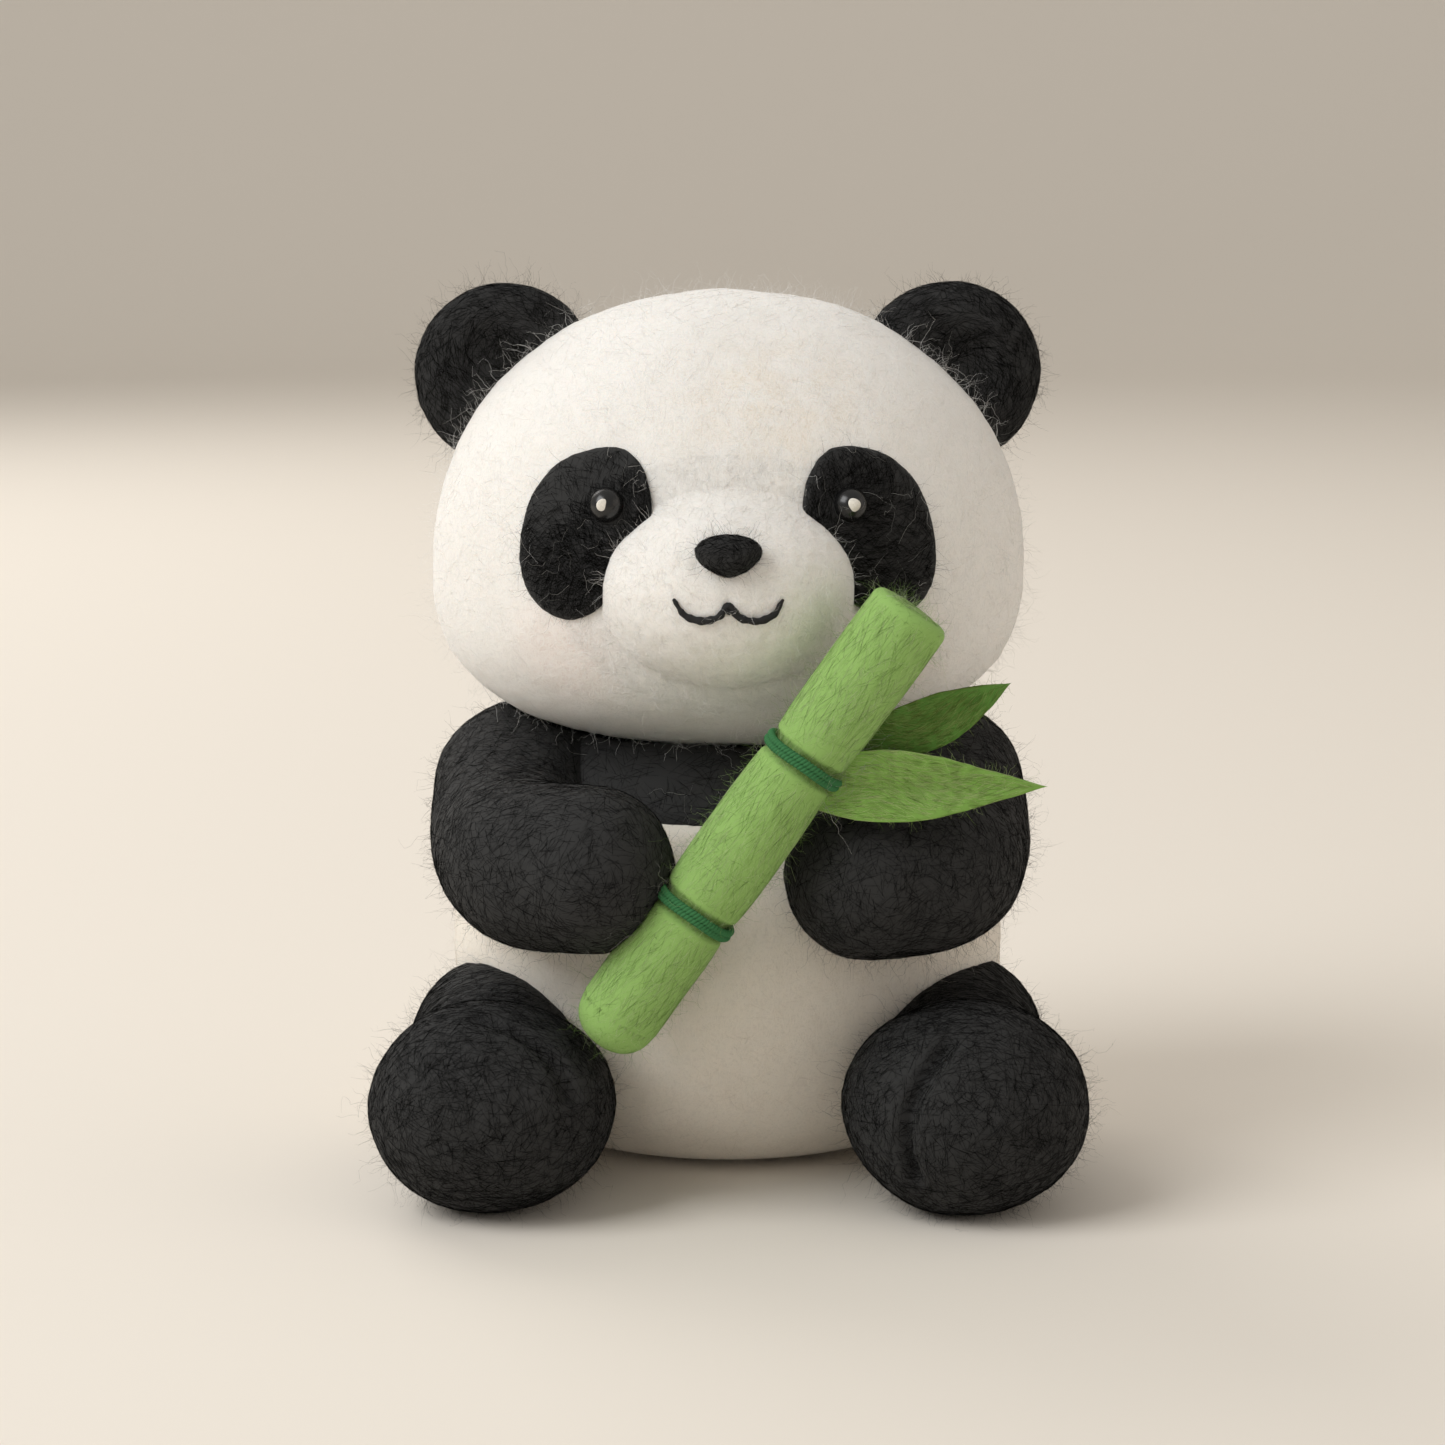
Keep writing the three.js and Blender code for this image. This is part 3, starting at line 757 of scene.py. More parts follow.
def mark_cover(piece, others, edge=1.6 * MM, floor=0.5 * MM):
    """Writes where fibres may grow: not inside another piece or under a foot, and where two pieces meet."""
    mesh = piece.data
    points = places(mesh)
    cover = (points[:, 2] > floor).astype(np.float32)
    seam = np.zeros(len(points), np.float32)
    for name in others:
        other = bpy.data.objects[name]
        tree = skin_tree(other)
        for i in near_mask(points, other, edge):
            deep = depth_in(tree, Vector(points[i]))
            if deep > 0:
                cover[i] = 0
            elif deep > -edge:
                seam[i] = 1 + deep / edge
    for name, values in (("cover", cover), ("seam", seam * cover)):
        mesh.attributes.new(name, "FLOAT", "POINT").data.foreach_set("value", values)


def share_of(mesh, attribute):
    values = np.zeros(len(mesh.vertices), np.float32)
    mesh.attributes[attribute].data.foreach_get("value", values)
    total = sum(p.area * values[list(p.vertices)].mean() for p in mesh.polygons)
    return float(total)


def grow_fibres(piece, name, tones, count, seed, **inputs):
    """Grows about this many fibres on a piece and returns them as one plain mesh."""
    mesh = piece.data
    area = share_of(mesh, inputs.get("Cover", "cover"))
    if area <= 0:
        raise RuntimeError(f"{piece.name} has no room for {name}")
    holder = bpy.data.objects.new(name + "_grower", mesh)
    bpy.context.scene.collection.objects.link(holder)
    modifier = holder.modifiers.new("fibres", "NODES")
    tree = bpy.data.node_groups["wool_fibres"]
    modifier.node_group = tree
    wool = bpy.context.scene.panda_wool
    given = {"Density": count / area, "Seed": seed, "Radius": wool.thickness, **inputs}
    for letter in "ABC":
        given[f"Tone {letter}"] = bpy.data.materials[f"{tones}_fibre_{letter.lower()}"]
    for item in tree.interface.items_tree:
        if item.item_type == "SOCKET" and item.in_out == "INPUT" and item.name in given:
            modifier[item.identifier] = given[item.name]
    graph = bpy.context.evaluated_depsgraph_get()
    grown = bpy.data.meshes.new_from_object(holder.evaluated_get(graph))
    bpy.data.objects.remove(holder)
    for attribute in ("tone", "cover", "seam"):
        if attribute in grown.attributes:
            grown.attributes.remove(grown.attributes[attribute])
    grown.name = name
    fibres = bpy.data.objects.new(name, grown)
    bpy.context.scene.collection.objects.link(fibres)
    return fibres


# ---------------------------------------------------------------- forms of each piece


def ease(value, start, end):
    t = np.clip((value - start) / (end - start), 0, 1)
    return t * t * (3 - 2 * t)


def joined(first, second, blend):
    """The nearer of two surfaces, with a rounded inside corner where they meet."""
    near = np.maximum(blend - np.abs(first - second), 0) / blend
    return np.minimum(first, second) - near**2 * blend / 4


def crease(piece, line, width, depth):
    """Sinks a soft furrow into a skin along a line of places."""
    mesh = piece.data
    points, out = places(mesh), normals(mesh)
    line = smooth_line(line, 24)
    far = np.full(len(points), np.inf)
    for start, end in zip(line, line[1:]):
        way = end - start
        t = np.clip((points - start) @ way / (way @ way), 0, 1)
        far = np.minimum(far, np.linalg.norm(points - start - t[:, None] * way, axis=1))
    set_places(mesh, points - out * (depth * np.exp(-((far / width) ** 2)))[:, None])


def blister(name, shares, sides, place, back):
    """Closed form: its front follows place(share, cos, sin) and its back is drawn in to one point."""
    cos, sin = circle(sides)
    skin = [place(0.0, cos[:1], sin[:1])]
    skin += [place(share, cos, sin) for share in shares]
    skin.append(np.array([back]))
    return ring_body(name, skin)


def facing_disc(x, y, z):
    return np.column_stack([x, y, z])


def lumps():
    return bpy.context.scene.panda_wool.lumpiness


def rings_of(*nodes):
    """Middle and half size of the box that holds these nodes."""
    low = np.min([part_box(node)[0] for node in nodes], axis=0)
    high = np.max([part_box(node)[1] for node in nodes], axis=0)
    return (low + high) / 2, (high - low) / 2


class PANDA_OT_colours(bpy.types.Operator):
    """Mixes every wool, felt, yarn and bead finish"""

    bl_idname = "panda.colours"
    bl_label = "Finishes"

    def execute(self, context):
        make_materials()
        fibre_tree()
        return {"FINISHED"}


class PANDA_OT_body(bpy.types.Operator):
    """Makes the white body, the black shoulders and the tail"""

    bl_idname = "panda.body"
    bl_label = "Body"

    def execute(self, context):
        belly = form_body("belly_felt", TORSO, 110, 168, floor=0.0, top=TORSO_TOP - 0.4 * MM)
        felt_surface(belly, 3, lumps(), keep=lambda p: ease(p[:, 2], 0.2 * MM, 4 * MM))
        # The belly's finish holds painted shade from the head and a painted warm bounce as well as the wool's
        # cream.
        dress(belly, "cream_and_shade_wool", "white_wool", "torso", "belly_coat")

        levels = np.linspace(0, 1, 30)
        skin = [np.array([[0, TORSO.middle, YOKE_EDGE + 2 * MM]])]
        for t in levels:
            z = YOKE_EDGE + 2 * MM + (YOKE_TOP - YOKE_EDGE - 2.3 * MM) * t
            skin.append(TORSO.ring(z, 168, grow=0.35 * MM))
        edge = TORSO.ring(YOKE_EDGE + 0.6 * MM, 168, grow=0.5 * MM)
        wave = 0.5 * MM * lump(edge, 4 * MM, 9)
        for k, drop in enumerate((0.0, 0.5, 1.0)):
            skin[1 + k][:, 2] += (1 - drop) * (wave - 1.2 * MM)
            skin[1 + k][:, :2] *= (0.985, 0.997, 1.0)[k]
        skin.append(np.array([[0, TORSO.middle, YOKE_TOP + 0.2 * MM]]))
        yoke = ring_body("shoulder_felt", skin)
        felt_surface(yoke, 3, lumps())
        dress(yoke, "black_wool", "black_wool", "torso", "shoulder_yoke")

        middle, half = rings_of("tail")
        middle[1] = TORSO.middle + TORSO.depth - 0.9 * MM
        radii = np.array([half[0], half[0] * 0.92, half[2]])
        tail = round_body("tail_felt", middle, radii, 40, 56)
        felt_surface(tail, 5, lumps())
        dress(tail, "white_wool", "white_wool", "torso", "tail")
        return {"FINISHED"}


def round_body(name, middle, radii, rings, sides, shape=None):
    """Closed round form with its poles to the front and the back. shape may change the unit ball."""
    cos, sin = circle(sides)
    skin = []
    for i, angle in enumerate(np.linspace(0, math.pi, rings)):
        only = slice(0, 1) if i in (0, rings - 1) else slice(None)
        share = 0.0 if i in (0, rings - 1) else math.sin(angle)
        unit = np.column_stack([
            share * cos[only], np.full(len(cos[only]), -math.cos(angle)), share * sin[only],
        ])
        if shape:
            unit = shape(unit)
        skin.append(middle + unit * radii)
    return ring_body(name, skin)


class PANDA_OT_head(bpy.types.Operator):
    """Makes the white head"""

    bl_idname = "panda.head"
    bl_label = "Head"

    def execute(self, context):
        head = form_body("head_felt", HEAD, 112, 176)
        felt_surface(head, 1, lumps())
        dress(head, "face_wool", "white_wool", "head", "head_coat")
        make_room(bpy.data.objects["shoulder_felt"], ["head_felt"], 0.3 * MM, HEAD_TURNS)
        return {"FINISHED"}


class PANDA_OT_eyes(bpy.types.Operator):
    """Makes the black eye patches, the eye beads and their light dots"""

    bl_idname = "panda.eyes"
    bl_label = "Eyes"

    def execute(self, context):
        for side in SIDES:
            self.patch(side)
            self.bead(side)
        return {"FINISHED"}

    def patch(self, side):
        way = SIDES[side]
        lean = way * math.radians(26)
        long, short, thick = 11.1 * MM, 7.5 * MM, 1.15 * MM
        x0, z0 = way * 17.1 * MM, 81.2 * MM

        def place(share, cos, sin):
            wobble = (
                1 + 0.025 * np.sin(3 * np.arctan2(sin, cos) + way) + 0.015 * np.sin(5 * np.arctan2(sin, cos))
            )
            u, v = short * share * cos * wobble, long * share * sin * wobble
            x = x0 + u * math.cos(lean) - v * math.sin(lean)
            z = z0 + u * math.sin(lean) + v * math.cos(lean)
            rise = thick * np.sqrt(max(0.0, 1 - min(share, 1.0) ** 6)) - 0.5 * MM * (share > 1)
            return facing_disc(x, HEAD.face_y(x, z) - rise, z)

        shares = [*np.linspace(0.05, 0.8, 16), *np.linspace(0.83, 0.99, 14), 1.0, 1.01]
        back = (x0 * 0.8, float(HEAD.face_y(x0, z0)) + 5 * MM, z0)
        patch = blister(f"eye_patch_felt_{side}", shares, 120, place, back)
        felt_surface(patch, 1, lumps())
        dress(patch, "black_wool", "black_wool", "head", f"eye_patch_{side}")

    def bead(self, side):
        middle, half = rings_of(f"eye_bead_{side}")
        radius = half[2]
        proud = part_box(f"eye_bead_{side}")[0].y + 0.35 * MM
        middle[1] = proud + radius * 0.8
        bead = round_body(f"eye_bead_gloss_{side}", middle, np.array([0.74, 0.8, 0.74]) * radius, 36, 56)
        dress(bead, "eye_bead", "eye_bead", "head", f"eye_bead_{side}", fill=None)
        middle, half = rings_of(f"eye_glint_{side}")
        middle[1] = proud + 0.3 * MM
        glint = round_body(f"eye_dot_{side}", middle, np.array([0.98, 0.62, 0.98]) * half[2], 18, 28)
        felt_surface(glint, 8, 0.05 * MM)
        dress(glint, "glint_felt", "eye_glint", "head", f"eye_glint_{side}")


class PANDA_OT_snout(bpy.types.Operator):
    """Makes the muzzle, the nose and the stitched mouth"""

    bl_idname = "panda.snout"
    bl_label = "Snout"

    def execute(self, context):
        middle, _ = rings_of("muzzle")
        middle = np.array([0.0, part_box("muzzle")[0].y + MUZZLE_RADII[1], middle[2]])
        self.muzzle(middle)
        self.nose()
        self.mouth()
        return {"FINISHED"}

    def muzzle(self, middle):
        wide, deep, tall = MUZZLE_RADII

        def place(share, cos, sin):
            x = middle[0] + wide * share * cos
            z = middle[2] + tall * share * sin
            ball = (
                middle[1] - deep * math.sqrt(max(0.0, 1 - min(share, 1.0) ** 2))
                + 60 * MM * max(0.0, share - 1)
            )
            blend = (1.0 + 5.5 * ease(-sin, 0.05, 0.8) + 1.4 * ease(sin, 0.75, 1.0)) * MM
            y = joined(np.full(len(x), ball), HEAD.face_y(x, z), blend)
            return facing_disc(x, y + 0.5 * MM * ease(share, 1.28, 1.42), z)

        shares = [*np.linspace(0.03, 0.84, 34), *np.linspace(0.86, 1.06, 40), *np.linspace(1.075, 1.42, 22)]
        muzzle = blister("muzzle_felt", shares, 176, place, middle + np.array([0, 14 * MM, 0]))
        felt_surface(muzzle, 1, lumps())
        crease(
            muzzle, [(0, -0.0415, 0.0775), (0, -0.0417, 0.0757), (0, -0.0415, 0.0738)], 0.6 * MM, 0.45 * MM
        )
        dress(muzzle, "face_wool", "white_wool", "head", "muzzle")

    def nose(self):
        middle, half = rings_of("nose")
        middle[1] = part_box("nose")[0].y + 2.5 * MM
        radii = np.array([half[0], 2.5 * MM, half[2]])

        def triangle(unit):
            x, y, z = unit.T
            return np.column_stack([
                x * (1.0 + 0.16 * z - 0.1 * z**2), y * (1 - 0.06 * z), z * (1 - 0.1 * (z > 0) * z),
            ])

        nose = round_body("nose_felt", middle, radii * 0.97, 48, 72, shape=triangle)
        felt_surface(nose, 6, lumps() * 0.4)
        dress(nose, "black_wool", "black_wool", "head", "nose")

    def mouth(self):
        half, level, sag, peak = 6.3 * MM, 74.5 * MM, 2.4 * MM, 73.9 * MM
        side = [
            (-half, level), (-half * 0.82, level - sag * 0.72), (-half * 0.5, level - sag),
            (-half * 0.2, level - sag * 0.8),
        ]
        outline = [*side, (0, peak), *[(-x, z) for x, z in reversed(side)]]
        line = smooth_line([(x, 0, z) for x, z in outline], 90)
        tree = skin_tree(bpy.data.objects["muzzle_felt"])
        for place in line:
            hit = tree.ray_cast(Vector((place[0], -0.08, place[2])), Vector((0, 1, 0)))
            place[1] = hit[0].y - 0.3 * MM
        line[:, 1] = np.convolve(np.pad(line[:, 1], 3, mode="edge"), np.full(7, 1 / 7), mode="valid")
        ends = np.minimum(np.arange(90), np.arange(90)[::-1]) / 14
        radii = 0.72 * MM * (0.72 + 0.28 * np.clip(ends, 0, 1)) * (1 + 0.07 * np.sin(np.arange(90) * 0.9))
        mouth = tube("mouth_thread", line, radii, 20, cap=5)
        felt_surface(mouth, 4, 0.05 * MM)
        dress(mouth, "mouth_thread", "mouth_thread", "head", "mouth_strand", fill=None)


class PANDA_OT_ears(bpy.types.Operator):
    """Makes the two round dished ears"""

    bl_idname = "panda.ears"
    bl_label = "Ears"

    def execute(self, context):
        for side, way in SIDES.items():
            self.ear(side, way)
        return {"FINISHED"}

    def ear(self, side, way):
        middle = np.array([way * 28.1, 1.5, 98.2]) * MM
        radius, half, dish, deep = 11.8 * MM, 4.6 * MM, 15 * MM, 1.9 * MM
        hollow = np.array([way * 28.9 * MM, middle[1] - half - dish + deep, middle[2] + 1 * MM])

        def dished(unit):
            points = unit * np.array([radius, half, radius])
            across = middle + points - hollow
            floor = (
                hollow[1] + np.sqrt(np.maximum(dish**2 - across[:, 0] ** 2 - across[:, 2] ** 2, 0))
                - middle[1]
            )
            carved = -joined(-points[:, 1], -floor, 1.6 * MM)
            front = unit[:, 1] < 0.35
            points[:, 1] = np.where(front, np.maximum(points[:, 1], carved), points[:, 1])
            return points

        ear = round_body(f"ear_felt_{side}", middle, np.ones(3), 90, 120, shape=dished)
        felt_surface(ear, 12 + way, lumps())
        dress(ear, "black_wool", "black_wool", None, f"ear_{side}")


def ear_bend(side):
    """Where the ear starts and stops bending away from the head."""
    middle = np.array([SIDES[side] * 28.1, 1.5, 98.2]) * MM
    away = np.array([SIDES[side] * 0.707, 0, 0.707])
    return middle - away * 5 * MM, middle + away * 1 * MM


ARM_LINES = {
    "left": np.array(
        [(-25.6, -5, 45.6), (-26.3, -18, 41.6), (-23.6, -30.4, 41.3), (-16.2, -37.4, 41.8)]
    ) * MM,
    "right": np.array([(25.6, -5, 45.6), (26.7, -18, 41), (24, -28.5, 40.2), (16.8, -32.6, 40)]) * MM,
}
ARM_RADII = np.array([12.0, 10.8, 10.5, 10.3]) * MM


class PANDA_OT_arms(bpy.types.Operator):
    """Makes the two arms that hug the stalk"""

    bl_idname = "panda.arms"
    bl_label = "Arms"

    def execute(self, context):
        for side in SIDES:
            bends = ARM_LINES[side]
            line = smooth_line(np.column_stack([bends, ARM_RADII]), 64)
            arm = tube(f"arm_felt_{side}", line[:, :3], line[:, 3], 104, cap=18)
            felt_surface(arm, 20 + SIDES[side], lumps() * 1.3)
            if side == "left":
                crease(
                    arm, [(-0.0225, -0.020, 0.0545), (-0.0195, -0.0225, 0.052), (-0.0165, -0.0245, 0.0505)],
                    1.5 * MM, 1.9 * MM,
                )
            make_room(arm, ["stalk_felt"], 0.2 * MM)
            make_room(arm, ["head_felt"], 0.25 * MM, HEAD_TURNS)
            dress(arm, "black_wool", "black_wool", None, f"arm_{side}")
        return {"FINISHED"}


def arm_bend(side):
    return ARM_LINES[side][0], ARM_LINES[side][1]


FOOT_MIDDLE = np.array([28.6, -35.5, 12.5]) * MM
FOOT_RADII = np.array([15.1, 14.3, 13.0]) * MM
THIGH_RADIUS = 11.3 * MM
HIP = np.array([28.6, -11, 14.6]) * MM


def mirrored(place, side):
    return np.array(place) * np.array([SIDES[side], 1, 1])


class PANDA_OT_legs(bpy.types.Operator):
    """Makes the two thighs and the two round feet"""

    bl_idname = "panda.legs"
    bl_label = "Legs"

    def execute(self, context):
        for side in SIDES:
            self.foot(side)
            self.thigh(side)
        return {"FINISHED"}

    def foot(self, side):
        middle = mirrored(FOOT_MIDDLE, side)
        foot = round_body(f"foot_felt_{side}", middle, FOOT_RADII, 84, 120)
        felt_surface(foot, 30 + SIDES[side], lumps() * 1.3)
        if side == "right":
            arc = [(25.5, 22.6), (22.6, 19), (20.9, 15), (20.6, 10.5), (21.6, 7)]
            width, depth = 1.0 * MM, 1.5 * MM
        else:
            arc = [(-30, 24.8), (-25, 23.6), (-20.8, 20.6), (-18.6, 16.5)]
            width, depth = 1.3 * MM, 0.9 * MM
        line = [(x * MM, self.front(middle, x * MM, z * MM), z * MM) for x, z in arc]
        crease(foot, line, width, depth)
        rest_on_floor(foot)
        dress(foot, "black_wool", "black_wool", f"leg_{side}", f"foot_{side}")

    def front(self, middle, x, z):
        reach = ((x - middle[0]) / FOOT_RADII[0]) ** 2 + ((z - middle[2]) / FOOT_RADII[2]) ** 2
        return middle[1] - FOOT_RADII[1] * math.sqrt(max(0.0, 1 - reach))

    def thigh(self, side):
        hip = mirrored(HIP, side)
        ankle = mirrored(FOOT_MIDDLE, side)
        line = smooth_line([hip, (hip + ankle) / 2, ankle - (ankle - hip) * 0.12], 48)
        radii = THIGH_RADIUS * (1 + 0.02 * np.sin(np.linspace(0, math.pi, 48)))
        thigh = tube(f"thigh_felt_{side}", line, radii, 96, cap=16)
        felt_surface(thigh, 40 + SIDES[side], lumps() * 1.3)
        rest_on_floor(thigh)
        dress(thigh, "black_wool", "black_wool", None, f"thigh_{side}")


def rest_on_floor(piece):
    points = places(piece.data)
    points[:, 2] = soft_floor(points[:, 2], 0.05 * MM, 0.5 * MM)
    set_places(piece.data, points)


def leg_bend(side):
    return mirrored(HIP, side), mirrored(HIP + (FOOT_MIDDLE - HIP) * 0.4, side)


# ---------------------------------------------------------------- stalk

STALK_LOW = np.array([-15.6, -40.2, 21.3]) * MM
STALK_HIGH = np.array([21.7, -41.2, 73.9]) * MM
STALK_LENGTH = float(np.linalg.norm(STALK_HIGH - STALK_LOW))
STALK_WAY = (STALK_HIGH - STALK_LOW) / STALK_LENGTH
STALK_RADIUS = 5.2 * MM
BANDS_AT = {"lower": 0.312, "upper": 0.655}


def stalk_frame():
    """Turns a form built upright at the origin into the stalk's lean."""
    turn = Vector((0, 0, 1)).rotation_difference(Vector(STALK_WAY)).to_matrix().to_4x4()
    return Matrix.Translation(Vector(STALK_LOW)) @ turn


def stalk_profile(z):
    """Radius of the stalk at a height: round lower end, slight bulge between bands, a waist at each band."""
    stations = [0.0, *[share * STALK_LENGTH for share in BANDS_AT.values()], STALK_LENGTH]
    radius = np.full_like(z, STALK_RADIUS)
    for low, high in zip(stations, stations[1:]):
        t = np.clip((z - low) / (high - low), 0, 1)
        radius += 0.16 * MM * np.sin(math.pi * t)
    for at in stations[1:-1]:
        radius -= (
            0.85 * MM * np.exp(-(((z - at) / (1.15 * MM)) ** 4))
            + 0.18 * MM * np.exp(-(((z - at) / (2.6 * MM)) ** 2))
        )
    return radius


class PANDA_OT_stalk(bpy.types.Operator):
    """Makes the felt bamboo stalk with its end disc, yarn bands and leaves"""

    bl_idname = "panda.stalk"
    bl_label = "Bamboo"

    def execute(self, context):
        self.wrap()
        self.cap()
        for name, share in BANDS_AT.items():
            self.band(name, share * STALK_LENGTH)
        leaf(
            "leaf_felt_upper", "leaf_upper", (14.9, -39.0, 57.2), (33.3, -39.0, 64.4), (2.3, 3.6),
            "dark_leaf_felt", 0.8, 1.35,
        )
        leaf(
            "leaf_felt_lower", "leaf_lower", (11.2, -41.2, 52.9), (37.6, -41.2, 52.4), (3.8, 3.5),
            "leaf_felt", 1.2, 0.85,
        )
        return {"FINISHED"}

    def wrap(self):
        round_end = 4.6 * MM
        outline = [(0.0, 0.0)]
        for angle in np.linspace(0, math.pi / 2, 22)[1:]:
            share = math.sin(angle) ** 0.86
            outline.append((STALK_RADIUS * share, round_end * (1 - math.cos(angle))))
        top = STALK_LENGTH - 1.5 * MM
        heights = np.linspace(round_end, top, 190)[1:]
        outline += list(zip(stalk_profile(heights), heights))
        rim = stalk_profile(np.array([top]))[0]
        for angle in np.linspace(0, math.pi * 0.62, 12)[1:]:
            outline.append((rim - 1.3 * MM * (1 - math.cos(angle)), top + 1.4 * MM * math.sin(angle)))
        outline += [(rim - 2.2 * MM, top + 0.4 * MM), (0.0, top + 0.2 * MM)]
        wrap = lathe("stalk_felt", [*outline], 96, np.eye(3)[:2], np.eye(3)[2], np.zeros(3))
        self.place(wrap)
        felt_surface(wrap, 50, 0.18 * MM, fine=0.2)
        dress(wrap, "stalk_felt", "stalk_felt", "bamboo", "stalk_wrap")

    def cap(self):
        radius = 3.9 * MM
        low = STALK_LENGTH - 2.2 * MM
        outline = [(0.0, low), (radius * 0.9, low)]
        for angle in np.linspace(-math.pi / 2, math.pi / 2, 14)[1:]:
            outline.append((
                radius - 0.8 * MM + 0.8 * MM * math.cos(angle),
                STALK_LENGTH - 0.9 * MM + 0.8 * MM * math.sin(angle),
            ))
        outline += [
            (radius * share, STALK_LENGTH - 0.1 * MM + 0.25 * MM * (1 - share**2))
            for share in (0.7, 0.55, 0.4, 0.25, 0.12)
        ]
        outline.append((0.0, STALK_LENGTH + 0.15 * MM))
        cap = lathe("stalk_end_felt", outline, 72, np.eye(3)[:2], np.eye(3)[2], np.zeros(3))
        self.place(cap)
        felt_surface(cap, 51, 0.2 * MM, fine=0.4)
        dress(cap, "stalk_felt", "stalk_felt", "bamboo", "stalk_cap")

    def place(self, piece):
        piece.data.transform(stalk_frame())
        piece.data.update()

    def band(self, name, height):
        """Two turns of two-ply yarn, side by side in the waist of the stalk."""
        holder = mesh_object(f"band_yarn_{name}", [(0, 0, 0), (MM, 0, 0), (0, MM, 0)], [(0, 1, 2)])
        modifier = holder.modifiers.new("yarn", "NODES")
        tree = bpy.data.node_groups.get("yarn_band") or yarn_tree()
        modifier.node_group = tree
        given = {
            "Waist Radius": STALK_RADIUS - 0.3 * MM, "Height": height,
            "Ply Radius": bpy.context.scene.panda_stalk.ply_radius,
            "Strand Gap": 0.66 * MM, "Twists": 34, "Yarn": bpy.data.materials["green_yarn"],
        }
        for item in tree.interface.items_tree:
            if item.item_type == "SOCKET" and item.in_out == "INPUT" and item.name in given:
                modifier[item.identifier] = given[item.name]
        graph = bpy.context.evaluated_depsgraph_get()
        yarn = bpy.data.meshes.new_from_object(holder.evaluated_get(graph))
        holder.modifiers.clear()
        spare = holder.data
        holder.data = yarn
        bpy.data.meshes.remove(spare)
        self.place(holder)
        holder.data.shade_smooth()
        dress(holder, "green_yarn", "green_yarn", "bamboo", f"band_{name}", fill=None)


def yarn_tree():
    """Closed rings of twisted two-ply yarn, laid side by side."""
    tree = bpy.data.node_groups.new("yarn_band", "GeometryNodeTree")
    face = tree.interface
    face.new_socket("Geometry", in_out="INPUT", socket_type="NodeSocketGeometry")
    for name in ("Waist Radius", "Height", "Ply Radius", "Strand Gap"):
        face.new_socket(name, in_out="INPUT", socket_type="NodeSocketFloat")
    face.new_socket("Twists", in_out="INPUT", socket_type="NodeSocketInt")
    face.new_socket("Yarn", in_out="INPUT", socket_type="NodeSocketMaterial")
    face.new_socket("Geometry", in_out="OUTPUT", socket_type="NodeSocketGeometry")
    w = Wiring(tree)
    ins = w.add("NodeGroupInput").outputs
    loop = w.add("GeometryNodeCurvePrimitiveCircle", {"Resolution": 340, "Radius": 1.0}).outputs[0]
    turn = w.math("MULTIPLY", w.add("GeometryNodeInputIndex").outputs[0], 2 * math.pi / 340)
    ring = w.add(
        "GeometryNodeCurvePrimitiveCircle", {"Resolution": 8, "Radius": ins["Ply Radius"]}
    ).outputs[0]
    parts = []
    for strand in (-0.5, 0.5):
        for ply in (0.0, math.pi):
            twist = w.math("ADD", w.math("MULTIPLY", turn, ins["Twists"]), ply + strand)
            wave = w.math("MULTIPLY", w.math("SINE", w.math("MULTIPLY", turn, 3.0)), 0.12 * MM)
            out = w.math("MULTIPLY", w.math("COSINE", twist), ins["Ply Radius"])
            side = w.math("MULTIPLY", w.math("SINE", twist), ins["Ply Radius"])
            far = w.math("ADD", ins["Waist Radius"], out)
            level = w.math("ADD", ins["Height"], w.math("MULTIPLY", ins["Strand Gap"], strand))
            level = w.math("ADD", w.math("ADD", level, side), wave)
            x = w.math("MULTIPLY", w.math("COSINE", turn), far)
            y = w.math("MULTIPLY", w.math("SINE", turn), far)
            place = w.add("ShaderNodeCombineXYZ", {0: x, 1: y, 2: level}).outputs[0]
            moved = w.add("GeometryNodeSetPosition", {"Geometry": loop, "Position": place}).outputs[0]
            drawn = w.add("GeometryNodeCurveToMesh", {"Curve": moved, "Profile Curve": ring})
            parts.append(drawn.outputs[0])
    together = w.add("GeometryNodeJoinGeometry")
    for part in parts:
        tree.links.new(part, together.inputs[0])
    real = w.add("GeometryNodeRealizeInstances", {"Geometry": together.outputs[0]}).outputs[0]
    done = w.add("GeometryNodeSetMaterial", {"Geometry": real, "Material": ins["Yarn"]}).outputs[0]
    w.feed(w.add("NodeGroupOutput").inputs["Geometry"], done)
    return tree


